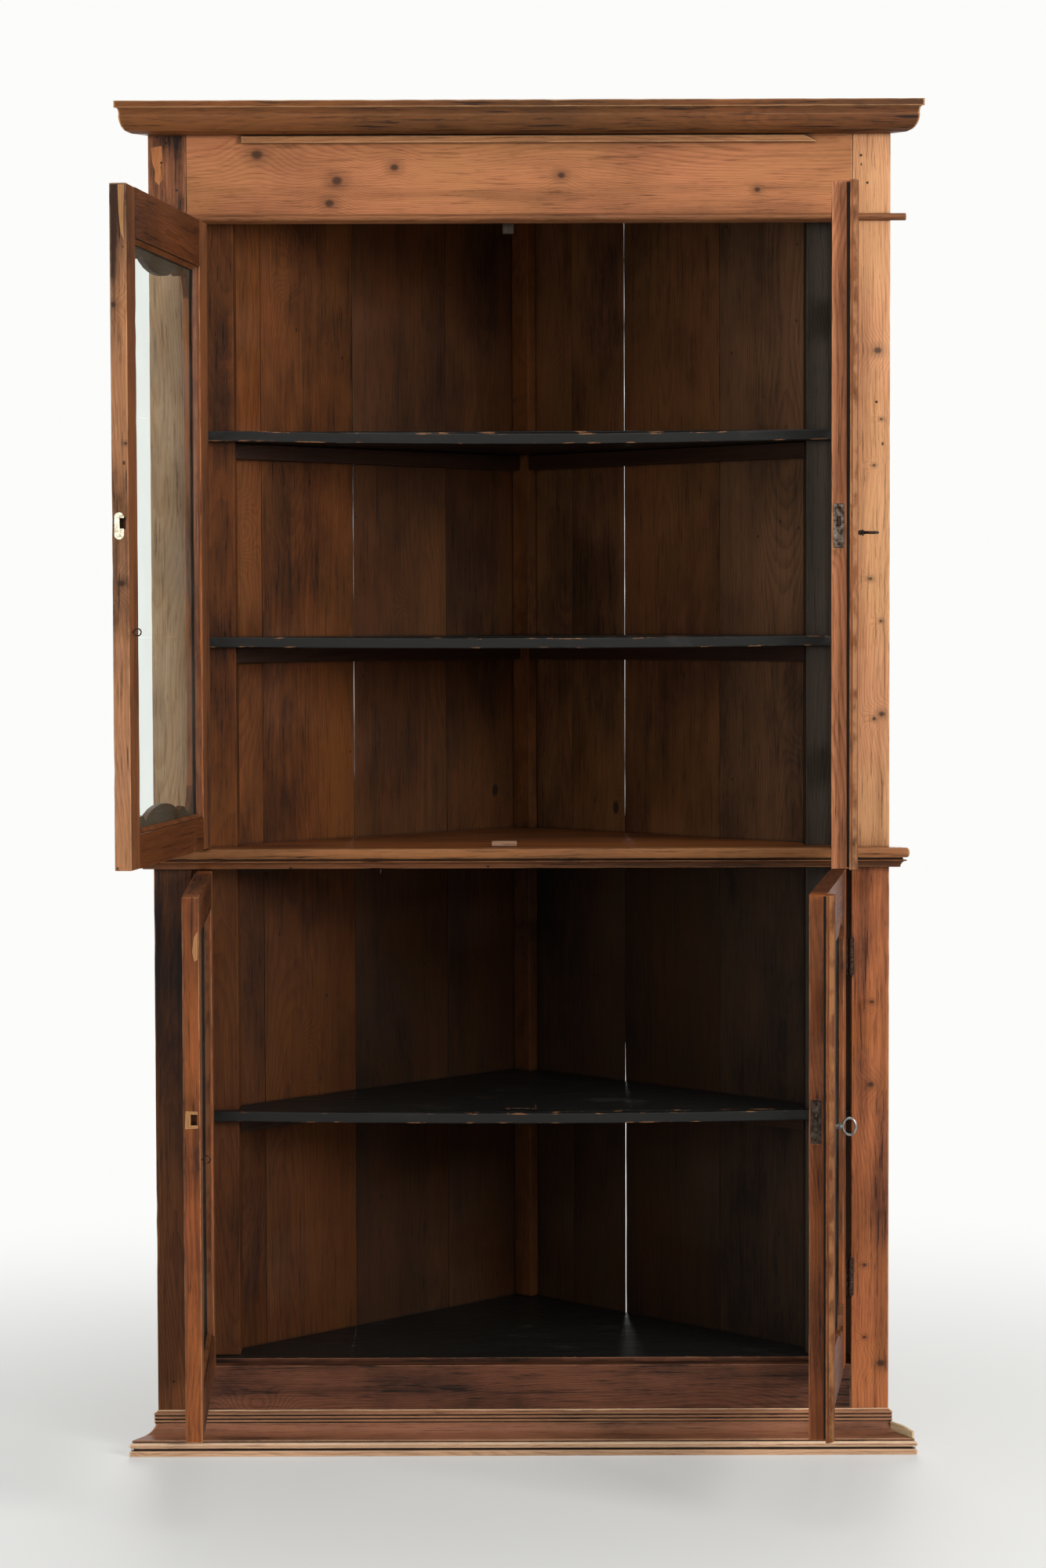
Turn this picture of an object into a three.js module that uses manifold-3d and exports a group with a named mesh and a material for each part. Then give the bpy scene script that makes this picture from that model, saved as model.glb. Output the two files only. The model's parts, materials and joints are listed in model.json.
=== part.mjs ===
// Glazed corner cupboard of stained pine: a straight front frame with four glazed doors, two plank walls
// that meet in a square corner behind it, black painted shelves, a cornice, a waist moulding and a plinth.
// Millimetres. X runs to the right, Y from the front to the corner, Z up. The origin is the middle of the
// base rail's underside. The doors stand open.

import * as THREE from 'three';
import { mergeVertices } from 'three/addons/utils/BufferGeometryUtils.js';
import Module from 'manifold-3d';

const wasm = await Module();
wasm.setup();

// Case
const caseWidth = 1256;
const caseTop = 2277;
const frontThickness = 27;
const stileWidth = 65;
const wallThickness = 18;
const topThickness = 18;
const seatGap = 0.3;
const cutOverrun = 2;

// Levels of the front, from the floor up
const baseRailTop = 147;
const floorTop = 154;
const lowerShelfTop = 582;
const waistTop = 1037;
const middleShelfTop = 1397;
const upperShelfTop = 1748;
const friezeHeight = 180;

// Boards inside
const shelfThickness = 18;
const floorThickness = 18;
const waistBoardThickness = 22;
const shelfSetback = 29;
const upperShelfSag = 6;
const middleShelfSag = 3;
const lowerShelfSag = 5;
const sagEndInset = 19;
const sagSteps = 12;

// Wall boards: places of the open joints, measured along the wall from the outer corner
const leftJointPlace = 442;
const leftJointGap = 2.5;
const rightJointPlace = 287;
const rightJointGap = 3.5;

// Posts and cleats
const cornerPostLeft = 22;
const cornerPostRight = 42;
const frontPostInset = 74;
const frontPostFace = 50;
const cleatHeight = 27;
const cleatThickness = 20;

// Cornice, on the front face above its own lower edge
const corniceHeight = 52;
const corniceProjection = 51;
const corniceFillet = 12;
const corniceCoveDepth = 6;
const corniceBellyHeight = 28;
const corniceBellyInset = 5;
const corniceFoot = 24;

// Bead along the lower edge of the frieze
const beadHeight = 13;
const beadProjection = 10;
const beadEndLength = 25;

// Waist moulding
const waistMouldingHeight = 34;
const waistNosing = 17;
const waistNosingProjection = 31;
const waistFillet = 6;
const waistFilletProjection = 27;
const waistFootProjection = 17;

// Plinth moulding
const plinthHeight = 70.5;
const plinthProjection = 45;
const plinthFillet = 9.5;
const plinthGroove = 3.5;
const plinthGrooveDepth = 5;
const plinthTorusHeight = 11;
const plinthStep = 6.5;
const plinthStepProjection = 30;
const plinthCove = 19.5;
const plinthReedProjection = 6;
const plinthReedCount = 3;
const plinthReedQuirk = 2;

// Doors
const doorThickness = 27;
const doorJointGap = 3;
const doorMeetingGap = 2;
const doorTopGap = 3;
const doorBottomGap = 3;
const lowerDoorBottomGap = 2;
const doorStileWidth = 65;
const upperDoorTopRail = 85;
const upperDoorBottomRail = 62;
const lowerDoorTopRail = 68;
const lowerDoorBottomRail = 70;
const rebateWidth = 8;
const rebateFront = 10;
const glassThickness = 3;
const scrollRise = 46;
const lipWidth = 42;
const lipOverhang = 20;
const lipThickness = 14;
const lipClearance = 0.6;
const upperLeftAngle = 97.5;
const upperRightAngle = 85;
const lowerLeftAngle = 87;
const lowerRightAngle = 81.5;

// Hinges
const hingeProud = 8;
const knuckleRadius = 5;
const knuckleLength = 62;
const middleKnuckle = 20;
const pinRadius = 2.3;
const finialRadius = 3.2;
const finialLength = 5;
const leafSpace = 0.35;
const leafDepth = 22;
const hingeEndDistance = 150;
const knuckleSides = 12;

// Locks, bolts and keys
const lockHeight = 67;
const lockDepth = 46;
const lockThickness = 12;
const lockBack = 5;
const lockBackPlate = 2.5;
const keyBelowLockMiddle = 10;
const keyInset = 27;
const boltHeight = 14;
const boltThickness = 6;
const boltLength = 26;
const boltAboveKey = 17;
const boltThrow = 9;
const runningGap = 0.4;
const upperLockMiddle = 1568;
const lowerLockMiddle = 647;
const shankRadius = 3.2;
const keyReach = 24;
const keyholeRadius = shankRadius + runningGap;
const collarRadius = 5;
const collarLength = 4;
const bowRadius = 10;
const bowWire = 2.2;
const bowStretch = 1.3;
const roundSides = 16;
const bowSides = 8;

// Shaped edge of a door rail: place along half the opening, from stile to middle, and height
const scrollShares = [
  [0, 1], [0.03, 0.62], [0.08, 0.26], [0.15, 0.1], [0.22, 0.14], [0.29, 0.32],
  [0.36, 0.36], [0.42, 0.26], [0.45, 0.14], [0.55, 0.34], [0.7, 0.5], [0.85, 0.58], [1, 0.6],
];

// Derived places
const halfWidth = caseWidth / 2;
const openingHalf = halfWidth - stileWidth;
const innerSum = halfWidth - wallThickness * Math.SQRT2;
const wallSeat = seatGap * Math.SQRT2;
const friezeBottom = caseTop - friezeHeight;
const frontPostInner = openingHalf - frontPostInset;
const sagSpan = 2 * (frontPostInner - sagEndInset);
const corniceBottom = caseTop + topThickness - corniceHeight;
const waistMouldingBottom = waistTop - waistMouldingHeight;
const hingeX = openingHalf - doorJointGap / 2;
const leafWidth = hingeX - doorJointGap / 2 - doorMeetingGap / 2;

const cupboard = new THREE.Group();
cupboard.position.y = -frontThickness / 2;

// Finishes, one material for each piece
const finishes = {
  outside: [0xa0643a, 0.5, 0],
  moulding: [0x7d5632, 0.55, 0],
  plinth: [0xb07a55, 0.6, 0],
  inside: [0x5a3220, 0.65, 0],
  floor: [0x202124, 0.45, 0],
  board: [0x7c4a2c, 0.55, 0],
  door: [0x7a4326, 0.45, 0],
  glass: [0xdfe8e6, 0.05, 0],
  iron: [0x4c4740, 0.5, 0.9],
  steel: [0x8b8a86, 0.4, 0.9],
};

function finishOf(name) {
  const [color, roughness, metalness] = finishes[name];
  const material = new THREE.MeshStandardMaterial({ color, roughness, metalness });
  if (name === 'glass') {
    material.transparent = true;
    material.opacity = 0.25;
  }
  return material;
}

function addMesh(parent, name, geometry, finish) {
  const mesh = new THREE.Mesh(geometry, finishOf(finish));
  mesh.name = name;
  parent.add(mesh);
  return mesh;
}

// Solids: an outline pulled out to a depth, one in plan raised between two levels, one drawn from the front
function pulled(points, depth) {
  const shape = new THREE.Shape(points.map(([x, y]) => new THREE.Vector2(x, y)));
  return new THREE.ExtrudeGeometry(shape, { depth, bevelEnabled: false });
}

function raised(points, bottom, top) {
  const geometry = pulled(points, top - bottom);
  geometry.translate(0, 0, bottom);
  return geometry;
}

function drawnFromFront(points, front, back) {
  const geometry = pulled(points, back - front);
  geometry.rotateX(Math.PI / 2);
  geometry.translate(0, back, 0);
  return geometry;
}

function block(x0, x1, y0, y1, z0, z1) {
  const geometry = new THREE.BoxGeometry(Math.abs(x1 - x0), y1 - y0, z1 - z0);
  geometry.translate((x0 + x1) / 2, (y0 + y1) / 2, (z0 + z1) / 2);
  return geometry;
}

// Joining and cutting
function toSolid(geometry) {
  const bare = geometry.clone();
  bare.deleteAttribute('normal');
  bare.deleteAttribute('uv');
  const merged = mergeVertices(bare);
  return new wasm.Manifold(new wasm.Mesh({
    numProp: 3,
    vertProperties: new Float32Array(merged.attributes.position.array),
    triVerts: new Uint32Array(merged.index.array),
  }));
}

function toGeometry(solid) {
  const mesh = solid.getMesh();
  const geometry = new THREE.BufferGeometry();
  geometry.setAttribute('position', new THREE.BufferAttribute(new Float32Array(mesh.vertProperties), 3));
  geometry.setIndex(new THREE.BufferAttribute(new Uint32Array(mesh.triVerts), 1));
  geometry.computeVertexNormals();
  return geometry;
}

function joined(...geometries) {
  return toGeometry(geometries.map(toSolid).reduce((sum, solid) => sum.add(solid)));
}

function cutBy(geometry, ...tools) {
  return toGeometry(tools.map(toSolid).reduce((rest, solid) => rest.subtract(solid), toSolid(geometry)));
}

// A point in plan by its distance along a wall from the outer corner and its depth in from the outer face.
// The side is 1 for the right wall and -1 for the left one.
function wallPoint(side, along, inward) {
  return [side * (along - inward) / Math.SQRT2, halfWidth - (along + inward) / Math.SQRT2];
}

// A moulding along the front, given by [projection, height] points. Its ends lie in the walls' outer planes.
function frontMoulding(profile, bottom) {
  const points = profile.map(([projection, height]) => [-projection, height]);
  const geometry = pulled(points, caseWidth);
  const place = geometry.attributes.position;
  for (let i = 0; i < place.count; i += 1) {
    const front = place.getX(i);
    const end = place.getZ(i) - halfWidth;
    place.setXYZ(i, Math.sign(end) * (halfWidth - front), front, place.getY(i) + bottom);
  }
  geometry.computeVertexNormals();
  return geometry;
}

function arcPoints(centre, radii, from, to, steps) {
  return Array.from({ length: steps + 1 }, (_, i) => {
    const angle = from + (to - from) * i / steps;
    return [centre[0] + radii[0] * Math.cos(angle), centre[1] + radii[1] * Math.sin(angle)];
  });
}

// Front frame
function addFrontFrame() {
  for (const [name, side] of [['stile_left', -1], ['stile_right', 1]]) {
    const outline = [
      [side * openingHalf, 0], [side * halfWidth, 0],
      [side * (halfWidth - frontThickness), frontThickness], [side * openingHalf, frontThickness],
    ];
    addMesh(cupboard, name, raised(outline, 0, caseTop), 'outside');
  }
  const rail = block(-openingHalf, openingHalf, 0, frontThickness, 0, baseRailTop);
  addMesh(cupboard, 'base_rail', rail, 'outside');

  const board = block(-openingHalf, openingHalf, 0, frontThickness, friezeBottom, caseTop);
  const beadMiddle = friezeBottom + beadHeight / 2;
  const beadRadii = [beadProjection, beadHeight / 2];
  const round = arcPoints([0, beadMiddle], beadRadii, Math.PI / 2, 3 * Math.PI / 2, 6);
  const section = [[0, friezeBottom + beadHeight], ...round.slice(1, -1), [0, friezeBottom]];
  const beadLength = caseWidth + 2 * beadEndLength;
  const bead = pulled(section, beadLength);
  const place = bead.attributes.position;
  for (let i = 0; i < place.count; i += 1) {
    place.setXYZ(i, place.getZ(i) - beadLength / 2, place.getX(i), place.getY(i));
  }
  addMesh(cupboard, 'frieze_board', joined(board, bead), 'outside');
}

// Mouldings of the front
function addMouldings() {
  const bellyTop = corniceProjection - corniceBellyInset;
  const coveFoot = bellyTop - corniceCoveDepth / 2;
  const coveTop = corniceHeight - corniceFillet;
  const cornice = [
    [0, 0], [corniceFoot, 0],
    ...arcPoints([corniceFoot, corniceBellyHeight], [bellyTop - corniceFoot, corniceBellyHeight],
      -Math.PI / 3, 0, 4),
    ...arcPoints([corniceProjection - corniceFillet / 3, corniceBellyHeight + seatGap],
      [corniceProjection - corniceFillet / 3 - coveFoot, coveTop - corniceBellyHeight - seatGap],
      Math.PI, Math.PI / 2, 4),
    [corniceProjection, coveTop], [corniceProjection, corniceHeight], [0, corniceHeight],
  ];
  addMesh(cupboard, 'cornice', frontMoulding(cornice, corniceBottom), 'moulding');

  const nosingFoot = waistMouldingHeight - waistNosing;
  const bandTop = nosingFoot - waistFillet;
  const waist = [
    [0, 0], [waistFootProjection, 0],
    ...arcPoints([waistFilletProjection, 0], [waistFilletProjection - waistFootProjection, bandTop],
      Math.PI, Math.PI / 2, 3).slice(1),
    [waistFilletProjection, nosingFoot],
    ...arcPoints([waistFilletProjection, nosingFoot + waistNosing / 2],
      [waistNosingProjection - waistFilletProjection, waistNosing / 2],
      -Math.PI / 2, Math.PI / 2, 6).slice(1),
    [0, waistMouldingHeight],
  ];
  addMesh(cupboard, 'waist_moulding', frontMoulding(waist, waistMouldingBottom), 'moulding');

  const torusBottom = plinthFillet + plinthGroove;
  const stepBottom = torusBottom + plinthTorusHeight;
  const coveBottom = stepBottom + plinthStep;
  const reedBottom = coveBottom + plinthCove;
  const reedHeight = (plinthHeight - reedBottom) / plinthReedCount;
  const reedFoot = plinthReedProjection - plinthReedQuirk;
  const grooveProjection = plinthProjection - plinthGrooveDepth;
  const reeds = [];
  for (let i = 0; i < plinthReedCount; i += 1) {
    const middle = reedBottom + (i + 1 / 2) * reedHeight;
    const radii = [plinthReedQuirk, reedHeight / 2];
    reeds.push(...arcPoints([reedFoot, middle], radii, -Math.PI / 2, Math.PI / 2, 4));
  }
  const plinth = [
    [0, 0], [plinthProjection, 0], [plinthProjection, plinthFillet],
    [grooveProjection, plinthFillet], [grooveProjection, torusBottom],
    ...arcPoints([grooveProjection, torusBottom + plinthTorusHeight / 2], [plinthGrooveDepth, plinthTorusHeight / 2],
      -Math.PI / 2, Math.PI / 2, 6).slice(1),
    [grooveProjection, coveBottom - plinthStep / 2], [plinthStepProjection, coveBottom],
    ...arcPoints([plinthStepProjection, reedBottom], [plinthStepProjection - reedFoot, plinthCove],
      -Math.PI / 2, -Math.PI, 6).slice(1, -1),
    ...reeds.filter((point, i) => i === 0 || point[1] > reeds[i - 1][1]),
    [0, plinthHeight],
  ];
  addMesh(cupboard, 'plinth_moulding', frontMoulding(plinth, 0), 'plinth');
}

// Walls, each of boards set on end, with one joint that has opened
function wallBoard(side, from, to) {
  const outer = wallPoint(side, from, 0);
  const inner = wallPoint(side, from, wallThickness);
  const frontEnd = (halfWidth - frontThickness) * Math.SQRT2 - seatGap;
  const outerEnd = to === undefined ? frontEnd : to;
  const innerEnd = to === undefined ? frontEnd - wallThickness : to;
  const outline = [outer, wallPoint(side, outerEnd, 0), wallPoint(side, innerEnd, wallThickness), inner];
  return raised(outline, 0, caseTop - seatGap);
}

function addWalls() {
  const leftStart = wallThickness + seatGap;
  addMesh(cupboard, 'wall_left_rear', wallBoard(-1, leftStart, leftJointPlace - leftJointGap / 2), 'inside');
  addMesh(cupboard, 'wall_left_front', wallBoard(-1, leftJointPlace + leftJointGap / 2), 'inside');
  addMesh(cupboard, 'wall_right_rear', wallBoard(1, 0, rightJointPlace - rightJointGap / 2), 'inside');
  addMesh(cupboard, 'wall_right_front', wallBoard(1, rightJointPlace + rightJointGap / 2), 'inside');
  const lid = [[-halfWidth, 0], [halfWidth, 0], [0, halfWidth]];
  addMesh(cupboard, 'top_board', raised(lid, caseTop, caseTop + topThickness), 'inside');
}

// Posts that stand in the corner and behind the front stiles
function addPosts() {
  const near = wallThickness + seatGap;
  const cornerPost = [
    wallPoint(1, near, near), wallPoint(1, wallThickness + cornerPostRight, near),
    wallPoint(1, wallThickness + cornerPostRight, wallThickness + cornerPostLeft),
    wallPoint(1, near, wallThickness + cornerPostLeft),
  ];
  addMesh(cupboard, 'corner_post', raised(cornerPost, floorTop + seatGap, caseTop - seatGap), 'inside');
  for (const [name, side] of [['front_post_left', -1], ['front_post_right', 1]]) {
    const outline = [
      [side * frontPostInner, frontPostFace],
      [side * (innerSum - wallSeat - frontPostFace), frontPostFace],
      [side * frontPostInner, innerSum - wallSeat - frontPostInner],
    ];
    addMesh(cupboard, name, raised(outline, floorTop + seatGap, caseTop - seatGap), 'inside');
  }
}

// Outline in plan of a board that fills the corner behind the line y = front, notched round the posts
function notchedSide(side) {
  const notchFront = frontPostFace - seatGap;
  const notchInner = frontPostInner - seatGap;
  return [
    [side * (innerSum - wallSeat - notchFront), notchFront],
    [side * notchInner, notchFront],
    [side * notchInner, innerSum - wallSeat - notchInner],
  ];
}

function cornerNotch() {
  const near = wallThickness + seatGap;
  const right = wallThickness + cornerPostRight + seatGap;
  const left = wallThickness + cornerPostLeft + seatGap;
  return [wallPoint(1, right, near), wallPoint(1, right, left), wallPoint(1, near, left)];
}

function shelfGeometry(top, thickness, sag) {
  const end = innerSum - wallSeat - shelfSetback;
  const edge = Array.from({ length: sagSteps + 1 },
    (_, i) => [sagSpan * (i / sagSteps - 1 / 2), shelfSetback]);
  const outline = [
    [-end, shelfSetback], ...edge, [end, shelfSetback],
    ...notchedSide(1), ...cornerNotch(), ...notchedSide(-1).reverse(),
  ];
  const geometry = raised(outline, top - thickness, top);
  const place = geometry.attributes.position;
  for (let i = 0; i < place.count; i += 1) {
    const share = 2 * place.getX(i) / sagSpan;
    const onEdge = place.getY(i) - shelfSetback < seatGap && Math.abs(share) < 1;
    if (onEdge) place.setZ(i, place.getZ(i) - sag * (1 - share * share));
  }
  return geometry;
}

function floorGeometry() {
  const end = innerSum - wallSeat - shelfSetback;
  const near = wallThickness + seatGap;
  const outline = [[-end, shelfSetback], [end, shelfSetback], wallPoint(1, near, near)];
  return raised(outline, floorTop - floorThickness, floorTop);
}

function waistBoardGeometry() {
  const behindStile = frontThickness + seatGap;
  const end = innerSum - wallSeat - behindStile;
  const between = openingHalf - seatGap;
  const outline = [
    [-between, 0], [between, 0], [between, behindStile], [end, behindStile],
    ...notchedSide(1), ...cornerNotch(), ...notchedSide(-1).reverse(),
    [-end, behindStile], [-between, behindStile],
  ];
  return raised(outline, waistTop - waistBoardThickness, waistTop);
}

function cleatGeometry(side, top) {
  const postReach = side > 0 ? cornerPostRight : cornerPostLeft;
  const from = wallThickness + postReach + seatGap;
  const near = wallThickness + seatGap;
  const far = near + cleatThickness;
  const postPlane = (frontPostInner - seatGap) * Math.SQRT2;
  const outline = [
    wallPoint(side, from, near), wallPoint(side, postPlane + near, near),
    wallPoint(side, postPlane + far, far), wallPoint(side, from, far),
  ];
  return raised(outline, top - cleatHeight, top);
}

function addShelves() {
  const shelves = [
    ['lower_shelf', lowerShelfTop, lowerShelfSag],
    ['middle_shelf', middleShelfTop, middleShelfSag],
    ['upper_shelf', upperShelfTop, upperShelfSag],
  ];
  for (const [name, top, sag] of shelves) {
    addMesh(cupboard, name, shelfGeometry(top, shelfThickness, sag), 'floor');
    const under = top - shelfThickness - seatGap;
    addMesh(cupboard, `${name}_cleat_left`, cleatGeometry(-1, under), 'inside');
    addMesh(cupboard, `${name}_cleat_right`, cleatGeometry(1, under), 'inside');
  }
  addMesh(cupboard, 'floor_board', floorGeometry(), 'floor');
  addMesh(cupboard, 'waist_board', waistBoardGeometry(), 'board');
}

// Doors. A leaf is drawn closed, with the hinge axis as its origin. A place along the leaf counts from its
// hinge edge. Direction is 1 where the leaf runs to the right of its hinge and -1 where it runs to the left.
const frontFace = hingeProud;
const backFace = hingeProud + doorThickness;
const rebateFace = hingeProud + rebateFront;

function leafX(direction, along) {
  return direction * (doorJointGap / 2 + along);
}

function stileOutline(direction, mirrored, lip) {
  const at = (along) => leafX(direction, mirrored ? leafWidth - along : along);
  const outline = [
    [at(0), frontFace], [at(doorStileWidth), frontFace], [at(doorStileWidth), rebateFace],
    [at(doorStileWidth - rebateWidth), rebateFace], [at(doorStileWidth - rebateWidth), backFace],
    [at(0), backFace],
  ];
  if (!lip) return outline;
  const lipInner = lipWidth - lipOverhang;
  const middle = lipInner - lipWidth / 2;
  const crown = arcPoints([0, 0], [lipWidth / 2, lipThickness - lipClearance], -Math.PI, 0, 8);
  const crownPoints = crown.map(([x, y]) => [at(middle - x), frontFace - lipClearance + y]);
  return [
    [at(0), frontFace], [at(0), frontFace - lipClearance], ...crownPoints.reverse(),
    [at(lipInner), frontFace], ...outline.slice(1),
  ];
}

function scrollEdge(direction, edge, rise) {
  const first = doorStileWidth + seatGap;
  const half = leafWidth / 2 - first;
  const left = scrollShares.map(([place, height]) => [first + half * place, edge + rise * height]);
  const right = left.slice(0, -1).reverse().map(([place, height]) => [leafWidth - place, height]);
  return [...left, ...right].map(([along, height]) => [leafX(direction, along), height]);
}

function railGeometry(direction, outerEdge, innerEdge) {
  const up = Math.sign(innerEdge - outerEdge);
  const first = doorStileWidth + seatGap;
  const rear = doorStileWidth - rebateWidth + seatGap;
  const front = [
    [leafX(direction, first), outerEdge], ...scrollEdge(direction, innerEdge, up * scrollRise),
    [leafX(direction, leafWidth - first), outerEdge],
  ];
  const rearEdge = innerEdge - up * rebateWidth;
  const frontPlate = drawnFromFront(front, frontFace, rebateFace);
  const [low, high] = [Math.min(outerEdge, rearEdge), Math.max(outerEdge, rearEdge)];
  const middle = block(leafX(direction, first), leafX(direction, leafWidth - first),
    frontFace, backFace, low, high);
  const rearPlate = block(leafX(direction, rear), leafX(direction, leafWidth - rear),
    rebateFace + seatGap, backFace, low, high);
  return joined(frontPlate, middle, rearPlate);
}

// Lock, bolt and key of a right-hand door
function lockTools(direction, lock) {
  const pocketDepth = lockDepth + seatGap;
  const keyLevel = lock - keyBelowLockMiddle;
  const mortise = block(
    leafX(direction, leafWidth - pocketDepth), leafX(direction, leafWidth + cutOverrun),
    backFace - lockBack - lockThickness - seatGap, backFace - lockBack + seatGap,
    lock - lockHeight / 2 - seatGap, lock + lockHeight / 2 + seatGap);
  const keyhole = new THREE.CylinderGeometry(keyholeRadius, keyholeRadius,
    doorThickness + lipThickness, roundSides);
  keyhole.translate(leafX(direction, leafWidth - keyInset), frontFace, keyLevel);
  return [mortise, keyhole];
}

function lockGeometry(direction, lock) {
  const back = backFace - lockBack;
  const keyLevel = lock - keyBelowLockMiddle;
  const boltLevel = keyLevel + boltAboveKey;
  const middle = back - lockThickness / 2;
  const body = block(leafX(direction, leafWidth - lockDepth), leafX(direction, leafWidth),
    back - lockThickness, back, lock - lockHeight / 2, lock + lockHeight / 2);
  const slot = block(
    leafX(direction, leafWidth - boltLength - boltThrow - runningGap),
    leafX(direction, leafWidth + cutOverrun),
    middle - boltThickness / 2 - runningGap, middle + boltThickness / 2 + runningGap,
    boltLevel - boltHeight / 2 - runningGap, boltLevel + boltHeight / 2 + runningGap);
  const keyhole = new THREE.CylinderGeometry(keyholeRadius, keyholeRadius, lockThickness, roundSides);
  keyhole.translate(leafX(direction, leafWidth - keyInset), middle - lockBackPlate, keyLevel);
  return cutBy(body, slot, keyhole);
}

function boltGeometry(direction, lock) {
  const middle = backFace - lockBack - lockThickness / 2;
  const boltLevel = lock - keyBelowLockMiddle + boltAboveKey;
  return block(leafX(direction, leafWidth - boltLength), leafX(direction, leafWidth),
    middle - boltThickness / 2, middle + boltThickness / 2,
    boltLevel - boltHeight / 2, boltLevel + boltHeight / 2);
}

// The socket in a left-hand door's edge that takes the bolt
function strikeTool(direction, lock) {
  const middle = backFace - lockBack - lockThickness / 2;
  const boltLevel = lock - keyBelowLockMiddle + boltAboveKey;
  return block(
    leafX(direction, leafWidth - boltThrow - cutOverrun), leafX(direction, leafWidth + cutOverrun),
    middle - boltThickness / 2 - cutOverrun, middle + boltThickness / 2 + cutOverrun,
    boltLevel - boltHeight / 2 - cutOverrun, boltLevel + boltHeight / 2 + cutOverrun);
}

function keyGeometry() {
  const inner = doorThickness - lockBack - lockThickness / 2;
  const shank = new THREE.CylinderGeometry(shankRadius, shankRadius, inner + keyReach, roundSides);
  shank.translate(0, (inner - keyReach) / 2, 0);
  const collar = new THREE.CylinderGeometry(collarRadius, collarRadius, collarLength, roundSides);
  collar.translate(0, -keyReach + collarLength, 0);
  const wire = arcPoints([bowRadius, 0], [bowWire, bowWire], 0, 2 * Math.PI, bowSides);
  wire[bowSides] = wire[0];
  const bow = new THREE.LatheGeometry(wire.map(([x, y]) => new THREE.Vector2(x, y)), roundSides);
  bow.rotateZ(Math.PI / 2);
  bow.scale(1, 1, bowStretch);
  bow.translate(0, -keyReach - bowRadius, 0);
  return joined(shank, collar, bow);
}

function addDoor(spec) {
  const { name, side, angle, bottom, top, topRail, bottomRail, lock, keyTurn } = spec;
  const direction = -side;
  const door = new THREE.Group();
  door.position.set(side * hingeX, -hingeProud, 0);
  door.rotation.z = side * THREE.MathUtils.degToRad(angle);
  cupboard.add(door);

  const leaves = hingeLevels(bottom, top).map((level) => doorLeafGeometry(direction, level));
  const hingeStile = joined(raised(stileOutline(direction, false, false), bottom, top), ...leaves);
  addMesh(door, `${name}_hinge_stile`, hingeStile, 'door');
  const lockStile = raised(stileOutline(direction, true, side > 0), bottom, top);
  const tools = side > 0 ? lockTools(direction, lock) : [strikeTool(direction, lock)];
  addMesh(door, `${name}_lock_stile`, cutBy(lockStile, ...tools), 'door');
  addMesh(door, `${name}_top_rail`, railGeometry(direction, top, top - topRail), 'door');
  addMesh(door, `${name}_bottom_rail`, railGeometry(direction, bottom, bottom + bottomRail), 'door');

  const paneInset = doorStileWidth - rebateWidth + seatGap;
  const paneFace = rebateFace + seatGap;
  const pane = block(leafX(direction, paneInset), leafX(direction, leafWidth - paneInset),
    paneFace, paneFace + glassThickness,
    bottom + bottomRail - rebateWidth + seatGap, top - topRail + rebateWidth - seatGap);
  addMesh(door, `${name}_glass`, pane, 'glass');

  if (side < 0) return;
  addMesh(door, `${name}_lock`, lockGeometry(direction, lock), 'iron');
  addMesh(door, `${name}_bolt`, boltGeometry(direction, lock), 'iron');
  const key = addMesh(door, `${name}_key`, keyGeometry(), 'steel');
  key.position.set(leafX(direction, leafWidth - keyInset), frontFace, lock - keyBelowLockMiddle);
  key.rotation.y = keyTurn;
}

// Hinges, drawn from their axis. The frame's half has the pin, the outer knuckles and the leaf on the
// stile's edge. The door's half, with the middle knuckle, is fast to the door's hinge stile.
function hingeLevels(bottom, top) {
  return [bottom + hingeEndDistance, top - hingeEndDistance];
}

function hingeGeometry(side) {
  const half = knuckleLength / 2;
  const inner = middleKnuckle / 2 + seatGap;
  const profile = [
    [0, -half - finialLength], [finialRadius, -half - finialLength / 2], [finialRadius, -half],
    [knuckleRadius, -half], [knuckleRadius, -inner], [pinRadius, -inner],
    [pinRadius, inner], [knuckleRadius, inner], [knuckleRadius, half],
    [finialRadius, half], [finialRadius, half + finialLength / 2], [0, half + finialLength],
  ];
  const knuckle = new THREE.LatheGeometry(profile.map(([x, y]) => new THREE.Vector2(x, y)), knuckleSides);
  knuckle.rotateX(Math.PI / 2);
  const stileFace = side * (doorJointGap / 2 - seatGap);
  const freeFace = side * leafSpace / 2;
  const clear = knuckleRadius + seatGap;
  const leaf = block(freeFace, stileFace, clear, leafDepth + hingeProud, -half, half);
  const tabs = [[-half, -inner], [inner, half]].map(([low, high]) => (
    block(freeFace, stileFace, 0, clear + cutOverrun, low, high)));
  return joined(knuckle, leaf, ...tabs);
}

function doorLeafGeometry(direction, level) {
  const half = knuckleLength / 2;
  const inner = middleKnuckle / 2;
  const bore = pinRadius + seatGap;
  const ring = [
    [bore, -inner], [knuckleRadius, -inner], [knuckleRadius, inner], [bore, inner], [bore, -inner],
  ];
  const knuckle = new THREE.LatheGeometry(ring.map(([x, y]) => new THREE.Vector2(x, y)), knuckleSides);
  knuckle.rotateX(Math.PI / 2);
  const near = direction * leafSpace / 2;
  const far = leafX(direction, cutOverrun);
  const clear = knuckleRadius + seatGap;
  const leaf = block(near, far, clear, leafDepth + hingeProud, -half, half);
  const tabStart = (bore + knuckleRadius) / 2;
  const tab = block(near, leafX(direction, 0), tabStart, clear + cutOverrun, -inner, inner);
  const doorHalf = joined(knuckle, leaf, tab);
  doorHalf.translate(0, 0, level);
  return doorHalf;
}

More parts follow.
